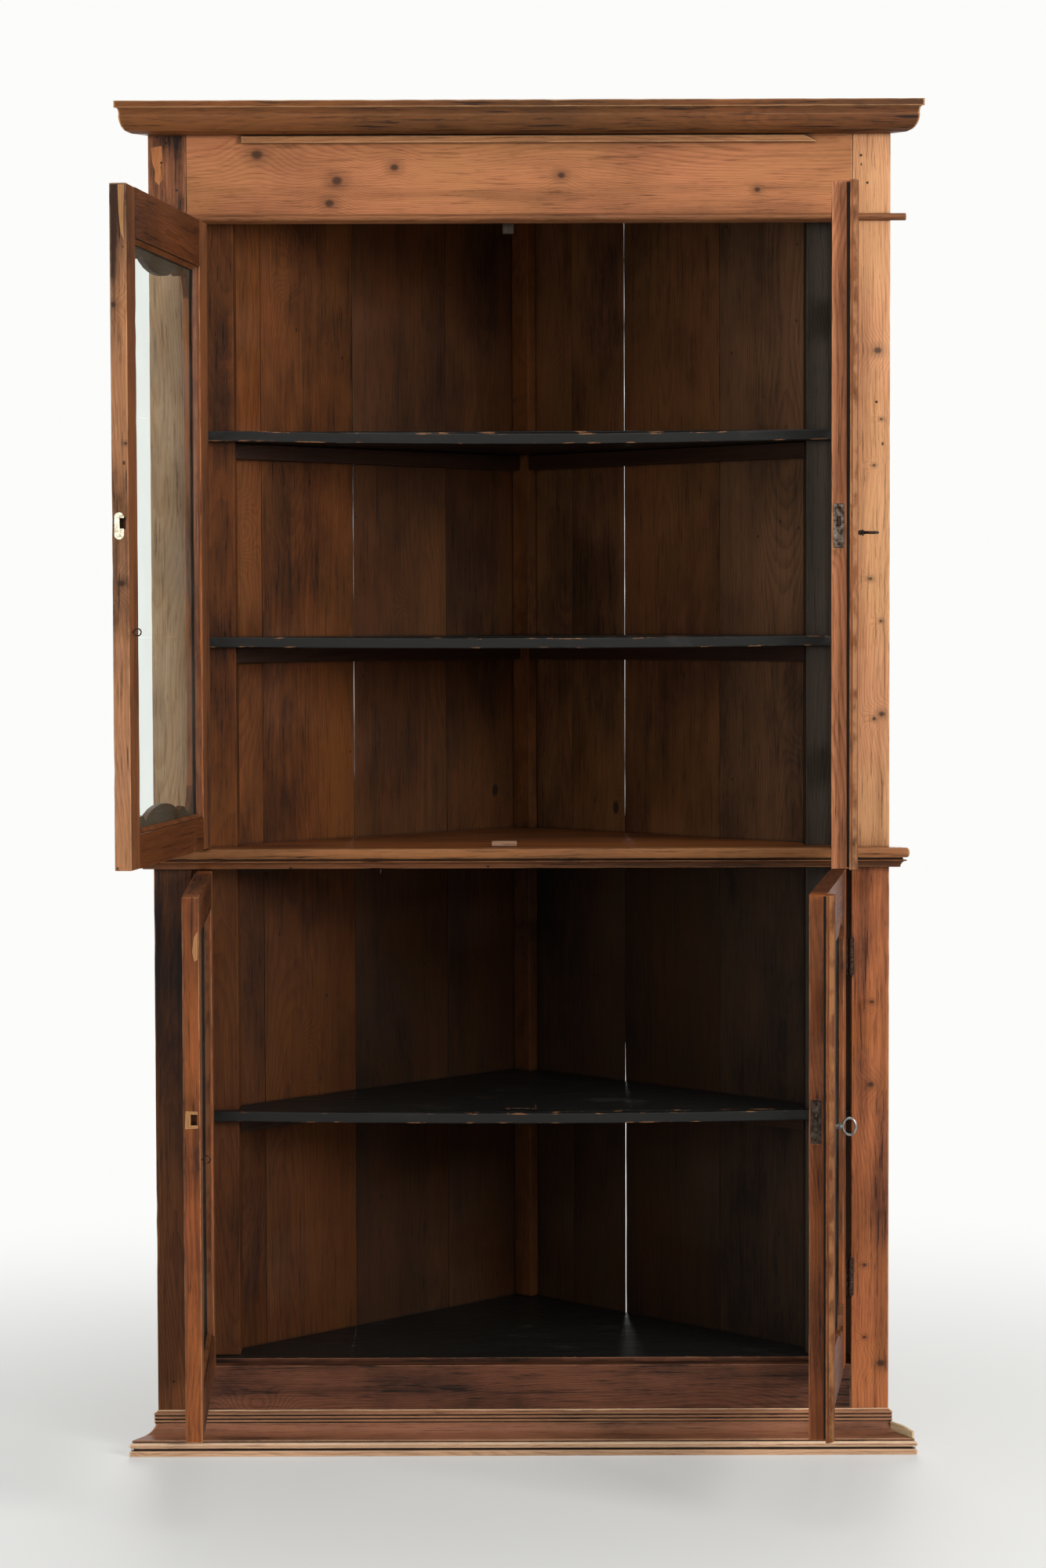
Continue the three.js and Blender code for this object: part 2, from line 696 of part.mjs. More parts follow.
function addHinges(name, side, bottom, top) {
  hingeLevels(bottom, top).forEach((level, i) => {
    const hinge = addMesh(cupboard, `${name}_hinge_${['bottom', 'top'][i]}`, hingeGeometry(side), 'iron');
    hinge.position.set(side * hingeX, -hingeProud, level);
  });
}

function addDoors() {
  const upper = {
    bottom: waistTop + doorBottomGap, top: friezeBottom - doorTopGap,
    topRail: upperDoorTopRail, bottomRail: upperDoorBottomRail, lock: upperLockMiddle,
  };
  const lower = {
    bottom: baseRailTop + lowerDoorBottomGap, top: waistMouldingBottom - doorTopGap,
    topRail: lowerDoorTopRail, bottomRail: lowerDoorBottomRail, lock: lowerLockMiddle,
  };
  const doors = [
    { ...upper, name: 'upper_left_door', side: -1, angle: upperLeftAngle },
    { ...upper, name: 'upper_right_door', side: 1, angle: upperRightAngle, keyTurn: Math.PI / 2 },
    { ...lower, name: 'lower_left_door', side: -1, angle: lowerLeftAngle },
    { ...lower, name: 'lower_right_door', side: 1, angle: lowerRightAngle, keyTurn: 0 },
  ];
  for (const spec of doors) {
    addDoor(spec);
    addHinges(spec.name, spec.side, spec.bottom, spec.top);
  }
}

addFrontFrame();
addMouldings();
addWalls();
addPosts();
addShelves();
addDoors();

export default cupboard;
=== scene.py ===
"""Looks of a glazed corner cupboard of stained pine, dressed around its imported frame.

Sizes are in millimetres, as they would stand on a cutting list, and become metres where a mesh or a material is made.
The front frame's outer face is y = 0 in the case's own axes, with x to the right and z up. Each door is drawn closed,
in its own axes, with its hinge pin as the upright axis.
"""

import json
import logging
import math
import zlib
from collections.abc import Callable, Iterable, Mapping, Sequence
from dataclasses import dataclass, field
from enum import Enum
from functools import partial

import bmesh
import bpy
from mathutils import Matrix, Vector, noise


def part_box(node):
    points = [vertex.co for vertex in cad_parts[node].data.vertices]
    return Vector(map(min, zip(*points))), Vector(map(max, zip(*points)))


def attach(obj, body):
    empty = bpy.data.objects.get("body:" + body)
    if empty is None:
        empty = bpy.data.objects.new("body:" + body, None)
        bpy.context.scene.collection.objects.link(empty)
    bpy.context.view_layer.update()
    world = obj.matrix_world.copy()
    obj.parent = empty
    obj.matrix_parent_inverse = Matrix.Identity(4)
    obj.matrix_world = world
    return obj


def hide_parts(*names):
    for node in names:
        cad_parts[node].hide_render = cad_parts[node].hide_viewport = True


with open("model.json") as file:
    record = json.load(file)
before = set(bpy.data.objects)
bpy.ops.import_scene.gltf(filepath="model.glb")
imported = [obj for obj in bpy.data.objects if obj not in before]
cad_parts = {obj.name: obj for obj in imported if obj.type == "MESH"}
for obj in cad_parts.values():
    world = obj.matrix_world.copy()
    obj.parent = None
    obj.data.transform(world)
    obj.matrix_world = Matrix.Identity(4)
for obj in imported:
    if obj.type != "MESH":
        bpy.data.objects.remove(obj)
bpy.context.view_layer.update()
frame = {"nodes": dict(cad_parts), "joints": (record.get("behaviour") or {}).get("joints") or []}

MM = 0.001
LOG = logging.getLogger("corner_cupboard")
Colour = tuple[float, float, float, float]
Outline = list[tuple[float, float]]
Solid = bmesh.types.BMesh
FaceTest = Callable[[bpy.types.MeshPolygon], bool]
Socket = bpy.types.NodeSocket
AddNode = Callable[..., Socket]
SMOOTH = {"interpolation_type": "SMOOTHSTEP"}
RGBA = {"data_type": "RGBA", "out": 2}


def linear(code: str) -> Colour:
    """Turn an sRGB hex value into a linear colour.

    Args:
        code: Six hex digits.

    Returns:
        Red, green, blue and a full alpha.
    """
    values = [int(code[i : i + 2], 16) / 255 for i in (0, 2, 4)]
    red, green, blue = (v / 12.92 if v <= 0.04045 else ((v + 0.055) / 1.055) ** 2.4 for v in values)
    return red, green, blue, 1.0


def add_node(tree: bpy.types.NodeTree, kind: str, inputs: Mapping | Sequence = (), out: int | str = 0,
             **settings: str | int) -> Socket | None:
    """Add a node with its settings and links.

    Args:
        tree: The node tree.
        kind: The node's type, without the words that all shader nodes share.
        inputs: Numbers, hex colours or sockets, in the order of the node's inputs or by their name or number.
        out: The name or number of the output that is wanted.
        settings: The node's own properties.

    Returns:
        That output, or nothing where the node has none.
    """
    node = tree.nodes.new(f"ShaderNode{kind}")
    for name, value in settings.items():
        setattr(node, name, value)
    for key, value in inputs.items() if isinstance(inputs, Mapping) else enumerate(inputs):
        if isinstance(value, Socket):
            tree.links.new(value, node.inputs[key])
        else:
            node.inputs[key].default_value = linear(value) if isinstance(value, str) else value
    return node.outputs[out] if node.outputs else None


def empty_tree(owner: bpy.types.Material | bpy.types.World) -> AddNode:
    """Clear the nodes of a material or a world, and give what adds a node to it."""
    owner.use_nodes = True
    owner.node_tree.nodes.clear()
    return partial(add_node, owner.node_tree)


def new_object(name: str, data: bpy.types.ID) -> bpy.types.Object:
    """Put a named object with its data into the scene."""
    thing = bpy.data.objects.new(name, data)
    bpy.context.scene.collection.objects.link(thing)
    return thing


def clouds(add: AddNode, place: Socket, size: Sequence[float], detail: float, out: int | str = 0,
           roughness: float = 0.6) -> Socket:
    """Add soft clouds of a real size.

    Args:
        add: Adds a node.
        place: Where the surface is.
        size: The clouds' size along each axis.
        detail: How far they break up.
        out: The output that is wanted.
        roughness: How strong the finer ones are.

    Returns:
        The clouds.
    """
    scaled = add("VectorMath", [place, tuple(1000 / v for v in size)], operation="MULTIPLY")
    return add("TexNoise", {"Vector": scaled, "Scale": 1.0, "Detail": detail, "Roughness": roughness}, out)


def off_the_flat(add: AddNode, radius: float) -> Socket:
    """Measure how far the surface turns away within a radius: nothing on the flat and more on an arris."""
    rounded = add("Bevel", {"Radius": radius * MM}, samples=4)
    level = add("VectorMath", [rounded, add("NewGeometry", out="Normal")], "Value", operation="DOT_PRODUCT")
    return add("Math", [1.0, level], operation="SUBTRACT")


def slanted(add: AddNode, normal: Socket, first: int = 0) -> Socket:
    """Mark the faces that lie square to none of the axes, as a rounded edge does.

    Args:
        add: Adds a node.
        normal: The faces' directions.
        first: The first of the axes that count.

    Returns:
        The mask.
    """
    square, slanting = 0.97, 0.88
    size = add("VectorMath", [normal], operation="ABSOLUTE")
    squarest, *others = list(add("SeparateXYZ", [size]).node.outputs)[first:]
    for other in others:
        squarest = add("Math", [squarest, other], operation="MAXIMUM")
    return add("MapRange", [squarest, square, slanting], **SMOOTH)


def shaded(add: AddNode, colour: Socket, rough: Socket, relief: Socket, strength: float, depth: float,
           more: dict[str, float]) -> Socket:
    """Add the shader of a dull or waxed surface.

    Args:
        add: Adds a node.
        colour: Its colour.
        rough: Its roughness.
        relief: The height of its pattern.
        strength: How strongly the relief shows.
        depth: How deep it is.
        more: Further values on the shader's own sockets.

    Returns:
        The shader.
    """
    bump = add("Bump", {"Strength": strength, "Distance": depth * MM, "Height": relief})
    return add("BsdfPrincipled", {"Base Color": colour, "Roughness": rough, "Normal": bump, **more})


class Grain(Enum):
    """Which way a piece's grain runs: turns in degrees, about z and then y, that stand it upright."""

    UPRIGHT = (0.0, 0.0)
    SIDEWAYS = (0.0, -90.0)
    RIGHT_WALL = (45.0, 0.0)
    LEFT_WALL = (-45.0, 0.0)
    ALONG_RIGHT_WALL = (45.0, -90.0)
    ALONG_LEFT_WALL = (-45.0, -90.0)

    def matrix(self) -> Matrix:
        """Give the turn as a matrix."""
        about_z, about_y = (math.radians(v) for v in self.value)
        return Matrix.Rotation(about_y, 3, "Y") @ Matrix.Rotation(about_z, 3, "Z")


class Figure(Enum):
    """Soft patterns in old pine: their width across the grain, their length along it, and their detail."""

    BEND = (380, 900, 2.0)
    RING_WIDTH = (25, 330, 3.0)
    FLECKS = (1.6, 38, 2.0)
    DASHES = (4.3, 90, 3.0)
    STREAKS = (29, 770, 3.0)
    CHECKS = (6.7, 420, 2.0)
    AMBER = (140, 330, 3.0)
    RUBBING = (33, 45, 4.0)

    def on(self, add: AddNode, upright: Socket, out: int | str = 0) -> Socket:
        """Add the pattern, where the grain stands upright."""
        width, length, detail = self.value
        return clouds(add, upright, (width, width, length), detail, out)


@dataclass(frozen=True)
class Knot:
    """A knot at a known place on a face: its place in the piece's own axes and its radius."""

    place: tuple[float, float, float]
    radius: float


@dataclass(frozen=True)
class Finish:
    """A finish, named for the real material and for how its surface was made."""

    name: str

    def material(self) -> bpy.types.Material:
        """Make the material, or give it again if it is there."""
        material = bpy.data.materials.get(self.name)
        if material is None:
            material = bpy.data.materials.new(self.name)
            add = empty_tree(material)
            add("OutputMaterial", [self.surface(add)])
        return material

    def surface(self, add: AddNode) -> Socket:
        """Add the nodes of the surface, and give its shader."""
        raise NotImplementedError(self.name)


@dataclass(frozen=True)
class Pine(Finish):
    """Pine boards, planed by hand, stained and waxed, and rubbed pale on the edges by long use.

    The year rings are cut from one trunk for each board, so faces show arches and edges show lines. Wax gives a soft
    sheen. Colours are those of the early wood, the late wood, the stain, the rubbed edges, the amber parts, which
    some boards have, and the dirt, which also colours the painted shade in corners and grooves.
    """

    early: str
    late: str
    stain: str
    worn: str
    amber: str = ""
    amber_amount: float = 0.45
    ring: float = 3.2
    ring_tone: float = 0.38
    fibre: tuple[float, float] = (1.1, 90.0)
    fibre_tone: float = 0.42
    sheen: float = 0.18
    streak: float = 0.6
    fleck: float = 0.4
    dash: float = 0.4
    # Painted shade low down: the share of colour kept below, and the levels between which it sets in
    dusk: float = 1.0
    dusk_levels: tuple[float, float] = (1010.0, 1040.0)
    # The dirt colour, which corners and grooves also take as painted shade
    dirt_and_shade: str = "1C110A"
    blotch: float = 190.0
    stain_amount: float = 0.55
    knot_every: float = 330.0
    knot_radius: float = 11.0
    dent_every: tuple[float, float] = (38.0, 59.0)
    roughness: tuple[float, float] = (0.38, 0.62)
    edge: float = 4.0
    edge_tone: float = 0.6
    edge_cover: float = 0.0
    # Painted shade in corners and grooves: how strong it is and how far it reaches
    grime: float = 0.8
    grime_reach: float = 10.0
    knot_tone: float = 0.9
    dent_tone: float = 0.85
    ring_height: float = 0.35
    dent_height: float = -2.0
    relief: tuple[float, float] = (0.45, 0.6)
    boards: bool = True
    knots: tuple[Knot, ...] = ()

    def surface(self, add: AddNode) -> Socket:
        """Add the wood with its stain, its rubbed edges, the dirt, dents and cracks of use, and painted shade in
        corners, in grooves and low down.

        Args:
            add: Adds a node.

        Returns:
            The shader.
        """
        whole = add("TexCoord", out="Object")
        heart, lay = (
            add("Attribute", out="Vector", attribute_type="OBJECT", attribute_name=name) for name in ("heart", "grain")
        )
        centred = add("VectorMath", [whole, heart], operation="SUBTRACT")
        upright = add("VectorRotate", {"Vector": centred, "Rotation": lay}, rotation_type="EULER_XYZ")
        knots, swirl = self.placed_knots(add, whole) if self.knots else self.chance_knots(add, upright)
        latewood = self.latewood(add, upright, swirl)
        fibre = clouds(add, upright, (self.fibre[0], *self.fibre), 3.0)
        blotches = clouds(add, upright, (self.blotch, self.blotch, self.blotch / 0.45), 7.0)
        colour = self.stained(add, upright, latewood, fibre, blotches)
        knots = add("Math", [knots, self.knot_tone], operation="MULTIPLY")
        colour = add("Mix", {0: knots, 6: colour, 7: self.dirt_and_shade}, **RGBA)
        colour = add("Mix", {0: self.rubbed(add, upright, lay), 6: colour, 7: self.worn}, **RGBA)
        dents = self.dents(add, upright)
        colour = self.dirtied_and_shaded(add, whole, dents, colour)
        relief = add("Math", [latewood, self.ring_height, fibre], operation="MULTIPLY_ADD")
        relief = add("Math", [dents, self.dent_height, relief], operation="MULTIPLY_ADD")
        uneven = add("Math", [fibre, 0.5, add("Math", [blotches, 0.5], operation="MULTIPLY")], operation="MULTIPLY_ADD")
        rough = add("MapRange", [uneven, 0.35, 0.65, *self.roughness], **SMOOTH)
        return shaded(add, colour, rough, relief, *self.relief, {"Specular IOR Level": self.sheen})

    def latewood(self, add: AddNode, upright: Socket, swirl: Socket) -> Socket:
        """Mark the dark half of each year ring, round a heart that wanders up the trunk.

        Args:
            add: Adds a node.
            upright: Places with the grain upright.
            swirl: What the knots add to the count of rings.

        Returns:
            The mask.
        """
        wander, only_across, uneven = (0.11, 0.09, 0.0), (1.0, 1.0, 0.0), 0.9
        bend = add("VectorMath", [Figure.BEND.on(add, upright, "Color"), (0.5, 0.5, 0.5)], operation="SUBTRACT")
        drawn = add("VectorMath", [bend, wander, upright], operation="MULTIPLY_ADD")
        drawn = add("VectorMath", [drawn, only_across], operation="MULTIPLY")
        radius = add("VectorMath", [drawn], "Value", operation="LENGTH")
        rings = add("Math", [radius, 1000 / self.ring, swirl], operation="MULTIPLY_ADD")
        rings = add("Math", [Figure.RING_WIDTH.on(add, upright), uneven, rings], operation="MULTIPLY_ADD")
        rings = add("Math", [rings], operation="FRACT")
        rise, fall = (add("MapRange", [rings, *levels], **SMOOTH) for levels in ((0.3, 0.92), (1.0, 0.95)))
        return add("Math", [rise, fall], operation="MULTIPLY")

    def stained(self, add: AddNode, upright: Socket, latewood: Socket, fibre: Socket, blotches: Socket) -> Socket:
        """Colour the wood, and lay the stain over it in blotches, streaks, flecks and short dashes.

        Args:
            add: Adds a node.
            upright: Places with the grain upright.
            latewood: The dark half of the year rings.
            fibre: The fine fibres.
            blotches: The blotches.

        Returns:
            The colour.
        """
        fibres = add("MapRange", [fibre, 0.35, 0.7, 0.0, self.fibre_tone], **SMOOTH)
        tone = add("Math", [latewood, self.ring_tone, fibres], operation="MULTIPLY_ADD")
        colour = add("Mix", {0: tone, 6: self.early, 7: self.late}, **RGBA)
        if self.amber:
            ripe = add("SeparateXYZ", [Figure.AMBER.on(add, upright, "Color")], 1)
            ripe = add("MapRange", [ripe, 0.35, 0.65, 0.0, self.amber_amount], **SMOOTH)
            colour = add("Mix", {0: ripe, 6: colour, 7: self.amber}, **RGBA)
        dark = 0.0
        for pattern, low, high, amount in (
            (blotches, 0.36, 0.74, self.stain_amount),
            (Figure.STREAKS.on(add, upright), 0.45, 0.72, self.stain_amount * self.streak),
            (Figure.FLECKS.on(add, upright), 0.6, 0.72, self.fleck),
            (Figure.DASHES.on(add, upright), 0.55, 0.68, self.dash),
        ):
            here = add("MapRange", [pattern, low, high, 0.0, amount], **SMOOTH)
            dark = add("Math", [dark, here], operation="ADD")
        return add("Mix", {0: dark, 6: colour, 7: self.stain}, **RGBA)

    def rubbed(self, add: AddNode, upright: Socket, lay: Socket) -> Socket:
        """Mark where edges are rubbed through the stain, on the arris and on the faces beside it.

        Args:
            add: Adds a node.
            upright: Places with the grain upright.
            lay: The turn that stands the grain upright.

        Returns:
            The mask.
        """
        rub = add("MapRange", [off_the_flat(add, self.edge), 0.01, 0.16], **SMOOTH)
        if self.boards:
            own = add("TexCoord", out="Normal")
            own = add("VectorRotate", {"Vector": own, "Rotation": lay}, rotation_type="EULER_XYZ")
            rub = add("Math", [rub, slanted(add, own)], operation="MAXIMUM")
        patchy = add("MapRange", [Figure.RUBBING.on(add, upright), 0.36, 0.6, self.edge_cover, 1.0], **SMOOTH)
        rub = add("Math", [rub, patchy], operation="MULTIPLY")
        return add("Math", [rub, self.edge_tone], operation="MULTIPLY")

    def dents(self, add: AddNode, upright: Socket) -> Socket:
        """Mark nail and worm holes, scattered dents and the drying cracks along the grain.

        Args:
            add: Adds a node.
            upright: Places with the grain upright.

        Returns:
            The mask.
        """
        across, along = (1000 / v for v in self.dent_every)
        rim, bottom, bare_share = 0.075, 0.035, 0.66
        scaled = add("VectorMath", [upright, (across, across, along)], operation="MULTIPLY")
        distance = add("TexVoronoi", {"Vector": scaled, "Scale": 1.0, "Randomness": 1.0}, "Distance")
        hole = add("MapRange", [distance, rim, bottom], **SMOOTH)
        some = add("Math", [distance.node.outputs["Color"], bare_share], operation="GREATER_THAN")
        hole = add("Math", [hole, some], operation="MULTIPLY")
        cracks = add("MapRange", [Figure.CHECKS.on(add, upright), 0.69, 0.73, 0.0, 0.8], **SMOOTH)
        return add("Math", [hole, cracks], operation="MAXIMUM")

    def dirtied_and_shaded(self, add: AddNode, whole: Socket, dents: Socket, colour: Socket) -> Socket:
        """Lay dirt in dents, paint shade into corners and grooves, and paint shade over the lower half.

        Args:
            add: Adds a node.
            whole: Places in the piece's own axes.
            dents: The dents.
            colour: The clean colour.

        Returns:
            The colour.
        """
        # Painted shade: corners and grooves with little open air within reach take the dirt colour
        open_air = add("AmbientOcclusion", {"Distance": self.grime_reach * MM}, "AO", samples=4)
        grime = add("MapRange", [open_air, 0.72, 0.38, 0.0, self.grime], **SMOOTH)
        for mask in (grime, add("Math", [dents, self.dent_tone], operation="MULTIPLY")):
            colour = add("Mix", {0: mask, 6: colour, 7: self.dirt_and_shade}, **RGBA)
        # Painted shade: below the lower level the colour is scaled down
        if self.dusk < 1:
            height = add("SeparateXYZ", [whole], 2)
            shade = add("MapRange", [height, *(v * MM for v in self.dusk_levels), self.dusk, 1.0], **SMOOTH)
            colour = add("VectorMath", {0: colour, "Scale": shade}, operation="SCALE")
        return colour

    def chance_knots(self, add: AddNode, upright: Socket) -> tuple[Socket, Socket]:
        """Scatter knots by chance.

        Args:
            add: Adds a node.
            upright: Places with the grain upright.

        Returns:
            A mask of the knots, and what they add to the count of rings around them.
        """
        cell, size, bare_share = 1000 / self.knot_every, self.knot_radius / self.knot_every, 0.45
        scaled = add("VectorMath", [upright, (cell, 0.3 * cell, 0.6 * cell)], operation="MULTIPLY")
        distance = add("TexVoronoi", {"Vector": scaled, "Scale": 1.0, "Randomness": 1.0}, "Distance")
        some = add("Math", [distance.node.outputs["Color"], bare_share], operation="GREATER_THAN")
        mask, swirl = (
            add("Math", [add("MapRange", [distance, *levels], **SMOOTH), some], operation="MULTIPLY")
            for levels in ((size, 0.55 * size, 0.0, 1.0), (5.5 * size, 0.0, 0.0, 9.0))
        )
        return mask, swirl

    def placed_knots(self, add: AddNode, whole: Socket) -> tuple[Socket, Socket]:
        """Set the knots at their known places, each with a dark core and a paler ring.

        Args:
            add: Adds a node.
            whole: Places in the piece's own axes.

        Returns:
            A mask of the knots, and what they add to the count of rings around them.
        """
        mask = swirl = 0.0
        for knot in self.knots:
            gap = add("VectorMath", [whole, tuple(v * MM for v in knot.place)], operation="SUBTRACT")
            gap = add("VectorMath", [gap, (0.8, 0.0, 1.0)], operation="MULTIPLY")
            distance = add("VectorMath", [gap], "Value", operation="LENGTH")
            size = knot.radius * MM
            core, ring, turn = (
                add("MapRange", [distance, far * size, near * size, 0.0, most], **SMOOTH)
                for far, near, most in ((0.9, 0.3, 0.6), (2.4, 0.6, 0.35), (5, 0.0, 3.0))
            )
            mask = add("Math", [mask, add("Math", [core, ring], operation="ADD")], operation="MAXIMUM")
            swirl = add("Math", [swirl, turn], operation="ADD")
        return mask, swirl


@dataclass(frozen=True)
class Paint(Finish):
    """Brushed oil paint on pine, dull and dusty, worn through to the wood along the edges.

    Brush strokes run sideways, so their size and that of the chips is given along x, y and z.
    """

    paint: str
    dust: str
    wood: str
    strokes: tuple[float, float, float] = (110, 3.8, 3.8)
    scuff: float = 90
    chip: tuple[float, float, float] = (42, 17, 9)
    roughness: tuple[float, float] = (0.32, 0.6)
    edge: float = 5.0

    def surface(self, add: AddNode) -> Socket:
        """Add the brushed paint, its dusty scuffs and its chipped edges.

        Args:
            add: Adds a node.

        Returns:
            The shader.
        """
        place, normal = (add("TexCoord", out=name) for name in ("Object", "Normal"))
        brush, scuffs, bare = (
            clouds(add, place, size, detail, roughness=0.65)
            for size, detail in ((self.strokes, 3.0), ((self.scuff,) * 3, 6.0), (self.chip, 6.0))
        )
        scuffs = add("MapRange", [scuffs, 0.55, 0.75], **SMOOTH)
        dusty = add("Mix", {0: scuffs, 6: self.paint, 7: self.dust}, **RGBA)
        # The front edge runs along x, so the faces that look along x are no edges
        off = add("Math", [off_the_flat(add, self.edge), slanted(add, normal, 1)], operation="MAXIMUM")
        off, bare = (add("MapRange", levels, **SMOOTH) for levels in ([off, 0.02, 0.14], [bare, 0.56, 0.62]))
        edge_patches = add("Math", [off, bare], operation="MULTIPLY")
        colour = add("Mix", {0: edge_patches, 6: dusty, 7: self.wood}, **RGBA)
        rough = add("MapRange", [brush, 0.3, 0.7, *self.roughness], **SMOOTH)
        return shaded(add, colour, rough, brush, 0.4, 0.5, {"Specular IOR Level": 0.25})


@dataclass(frozen=True)
class Metal(Finish):
    """Iron or steel shaped by hand, with a skin of rust or dirt in its hollows that dulls it in specks."""

    bright: str
    skin: str
    skin_amount: float
    roughness: tuple[float, float]
    metallic: float = 0.9
    speck: float = 5.0

    def surface(self, add: AddNode) -> Socket:
        """Add the metal and its skin.

        Args:
            add: Adds a node.

        Returns:
            The shader.
        """
        place = add("TexCoord", out="Object")
        grit = add("TexNoise", {"Vector": place, "Scale": 1000 / self.speck, "Detail": 5.0, "Roughness": 0.7})
        middle, spread = 0.75 - 0.5 * self.skin_amount, 0.12
        rust = add("MapRange", [grit, middle - spread, middle + spread])
        colour = add("Mix", {0: rust, 6: self.bright, 7: self.skin}, **RGBA)
        rough = add("MapRange", [rust, 0.0, 1.0, *self.roughness])
        return shaded(add, colour, rough, grit, 0.35, 0.3, {"Metallic": self.metallic})


@dataclass(frozen=True)
class Glass(Finish):
    """Old drawn window glass: clear, faintly green, slightly wavy and dusty. It lets lamp light through.

    It mirrors less than clean glass would, since the room that it would mirror is dimmer than white surroundings.
    """

    tint: str = "F8FBF9"
    dust: str = "C8C6BC"
    film: tuple[float, float] = (0.01, 0.06)
    shine: float = 0.6
    most_shine: float = 0.045
    wave: float = 70.0
    smear: float = 120.0

    def surface(self, add: AddNode) -> Socket:
        """Add the pane, its film of dust and its weak reflection.

        Args:
            add: Adds a node.

        Returns:
            The shader.
        """
        place = add("TexCoord", out="Object")
        waves, smear = (
            add("TexNoise", {"Vector": place, "Scale": 1000 / size, "Detail": detail})
            for size, detail in ((self.wave, 1.0), (self.smear, 5.0))
        )
        bump = add("Bump", {"Strength": 0.06, "Distance": 2.0 * MM, "Height": waves})
        film = add("MapRange", [smear, 0.35, 0.7, *self.film])
        pane = add("MixShader", [film, add("BsdfTransparent", [self.tint]), add("BsdfDiffuse", [self.dust])])
        gloss = add("BsdfAnisotropic", {"Color": "FFFFFF", "Roughness": 0.02, "Normal": bump})
        # Only the face that is met first mirrors, as a thin pane bends nothing
        front = add("Math", [1.0, add("NewGeometry", out="Backfacing")], operation="SUBTRACT")
        share = add("Fresnel", {"IOR": 1.5, "Normal": bump})
        for operation, value in (("MULTIPLY", front), ("MULTIPLY", self.shine), ("MINIMUM", self.most_shine)):
            share = add("Math", [share, value], operation=operation)
        return add("MixShader", [share, pane, gloss])


@dataclass(frozen=True)
class Wear:
    """How a piece has aged: rounding of its edges, hollows in its faces and chips along its edges."""

    rounding: float = 1.6
    step: float = 28.0
    hollow: float = 0.35
    chip: float = 1.3


class Way(Enum):
    """The axis that a long piece runs along."""

    X = 0
    Y = 1
    Z = 2


def skinned(rings: Sequence[Sequence[Vector]], closed: bool = False) -> Solid:
    """Skin rings of points into a solid.

    Args:
        rings: Rings with the same number of points, or with one where the solid comes to a point.
        closed: True where the last ring joins the first one. Otherwise both ends are capped.

    Returns:
        The closed solid.
    """
    solid = bmesh.new()
    made = [[solid.verts.new(point * MM) for point in ring] for ring in rings]
    sides = max(len(ring) for ring in made)
    for first, second in zip(made, made[1:] + ([made[0]] if closed else [])):
        for i in range(sides):
            j = (i + 1) % sides
            corners = (first[i % len(first)], first[j % len(first)], second[j % len(second)], second[i % len(second)])
            solid.faces.new(list(dict.fromkeys(corners)))
    for ring in () if closed else (made[0], made[-1]):
        if len(ring) > 1:
            solid.faces.new(ring)
    bmesh.ops.recalc_face_normals(solid, faces=solid.faces)
    return solid


def lined(outline: Outline, low: float, high: float, way: Way = Way.Z) -> Solid:
    """Draw an outline out into a solid.

    Args:
        outline: Points across the piece: x and y for an upright piece, x and z for one drawn front to back, and
            y and z for one that runs sideways.
        low: Where the piece starts.
        high: Where it ends.
        way: The axis that it is drawn along.

    Returns:
        The closed solid.
    """

    def point(pair: tuple[float, float], along: float) -> Vector:
        """Give the point of a pair in the outline at a place along the piece."""
        across = list(pair)
        across.insert(way.value, along)
        return Vector(across)

    return skinned([[point(pair, along) for pair in outline] for along in (low, high)])


def turned(profile: Outline, sides: int = 24) -> Solid:
    """Turn a profile of radius and height about the z axis.

    Args:
        profile: Points from one end to the other. A radius of zero closes that end.
        sides: How many sides the round has.

    Returns:
        The closed solid.
    """
    rings = []
    for radius, height in profile:
        angles = [math.tau * i / sides for i in range(sides if radius > 0 else 1)]
        rings.append([Vector((radius * math.cos(a), radius * math.sin(a), height)) for a in angles])
    return skinned(rings)


def wire(path: Sequence[Vector], radius: float, sides: int = 10, closed: bool = False) -> Solid:
    """Draw a round wire along a path.

    Args:
        path: Its points.
        radius: The wire's radius.
        sides: How many sides its round has.
        closed: True for a ring.

    Returns:
        The closed solid.
    """
    rings, side, nearly_along = [], Vector((0, 0, 1)), 0.95
    for i, place in enumerate(path):
        before = path[i - 1] if closed or i else place
        after = path[(i + 1) % len(path)] if closed or i < len(path) - 1 else place
        ahead = (after - before).normalized()
        if abs(ahead.dot(side)) > nearly_along:
            side = ahead.orthogonal()
        side = (side - ahead * side.dot(ahead)).normalized()
        third = ahead.cross(side)
        angles = [math.tau * k / sides for k in range(sides)]
        rings.append([place + radius * (side * math.cos(a) + third * math.sin(a)) for a in angles])
    return skinned(rings, closed)


def together(*solids: Solid) -> Solid:
    """Put several solids into one mesh."""
    whole = bmesh.new()
    for solid in solids:
        part = bpy.data.meshes.new("part")
        solid.to_mesh(part)
        whole.from_mesh(part)
        bpy.data.meshes.remove(part)
    return whole


def moved(solid: Solid, matrix: Matrix) -> Solid:
    """Move a solid in its own axes and give it back."""
    solid.transform(matrix)
    return solid


def at(x: float, y: float, z: float) -> Matrix:
    """Give the move to a place in millimetres."""
    return Matrix.Translation(Vector((x, y, z)) * MM)


def turn(degrees: float, axis: str) -> Matrix:
    """Give a turn about an axis."""
    return Matrix.Rotation(math.radians(degrees), 4, axis)


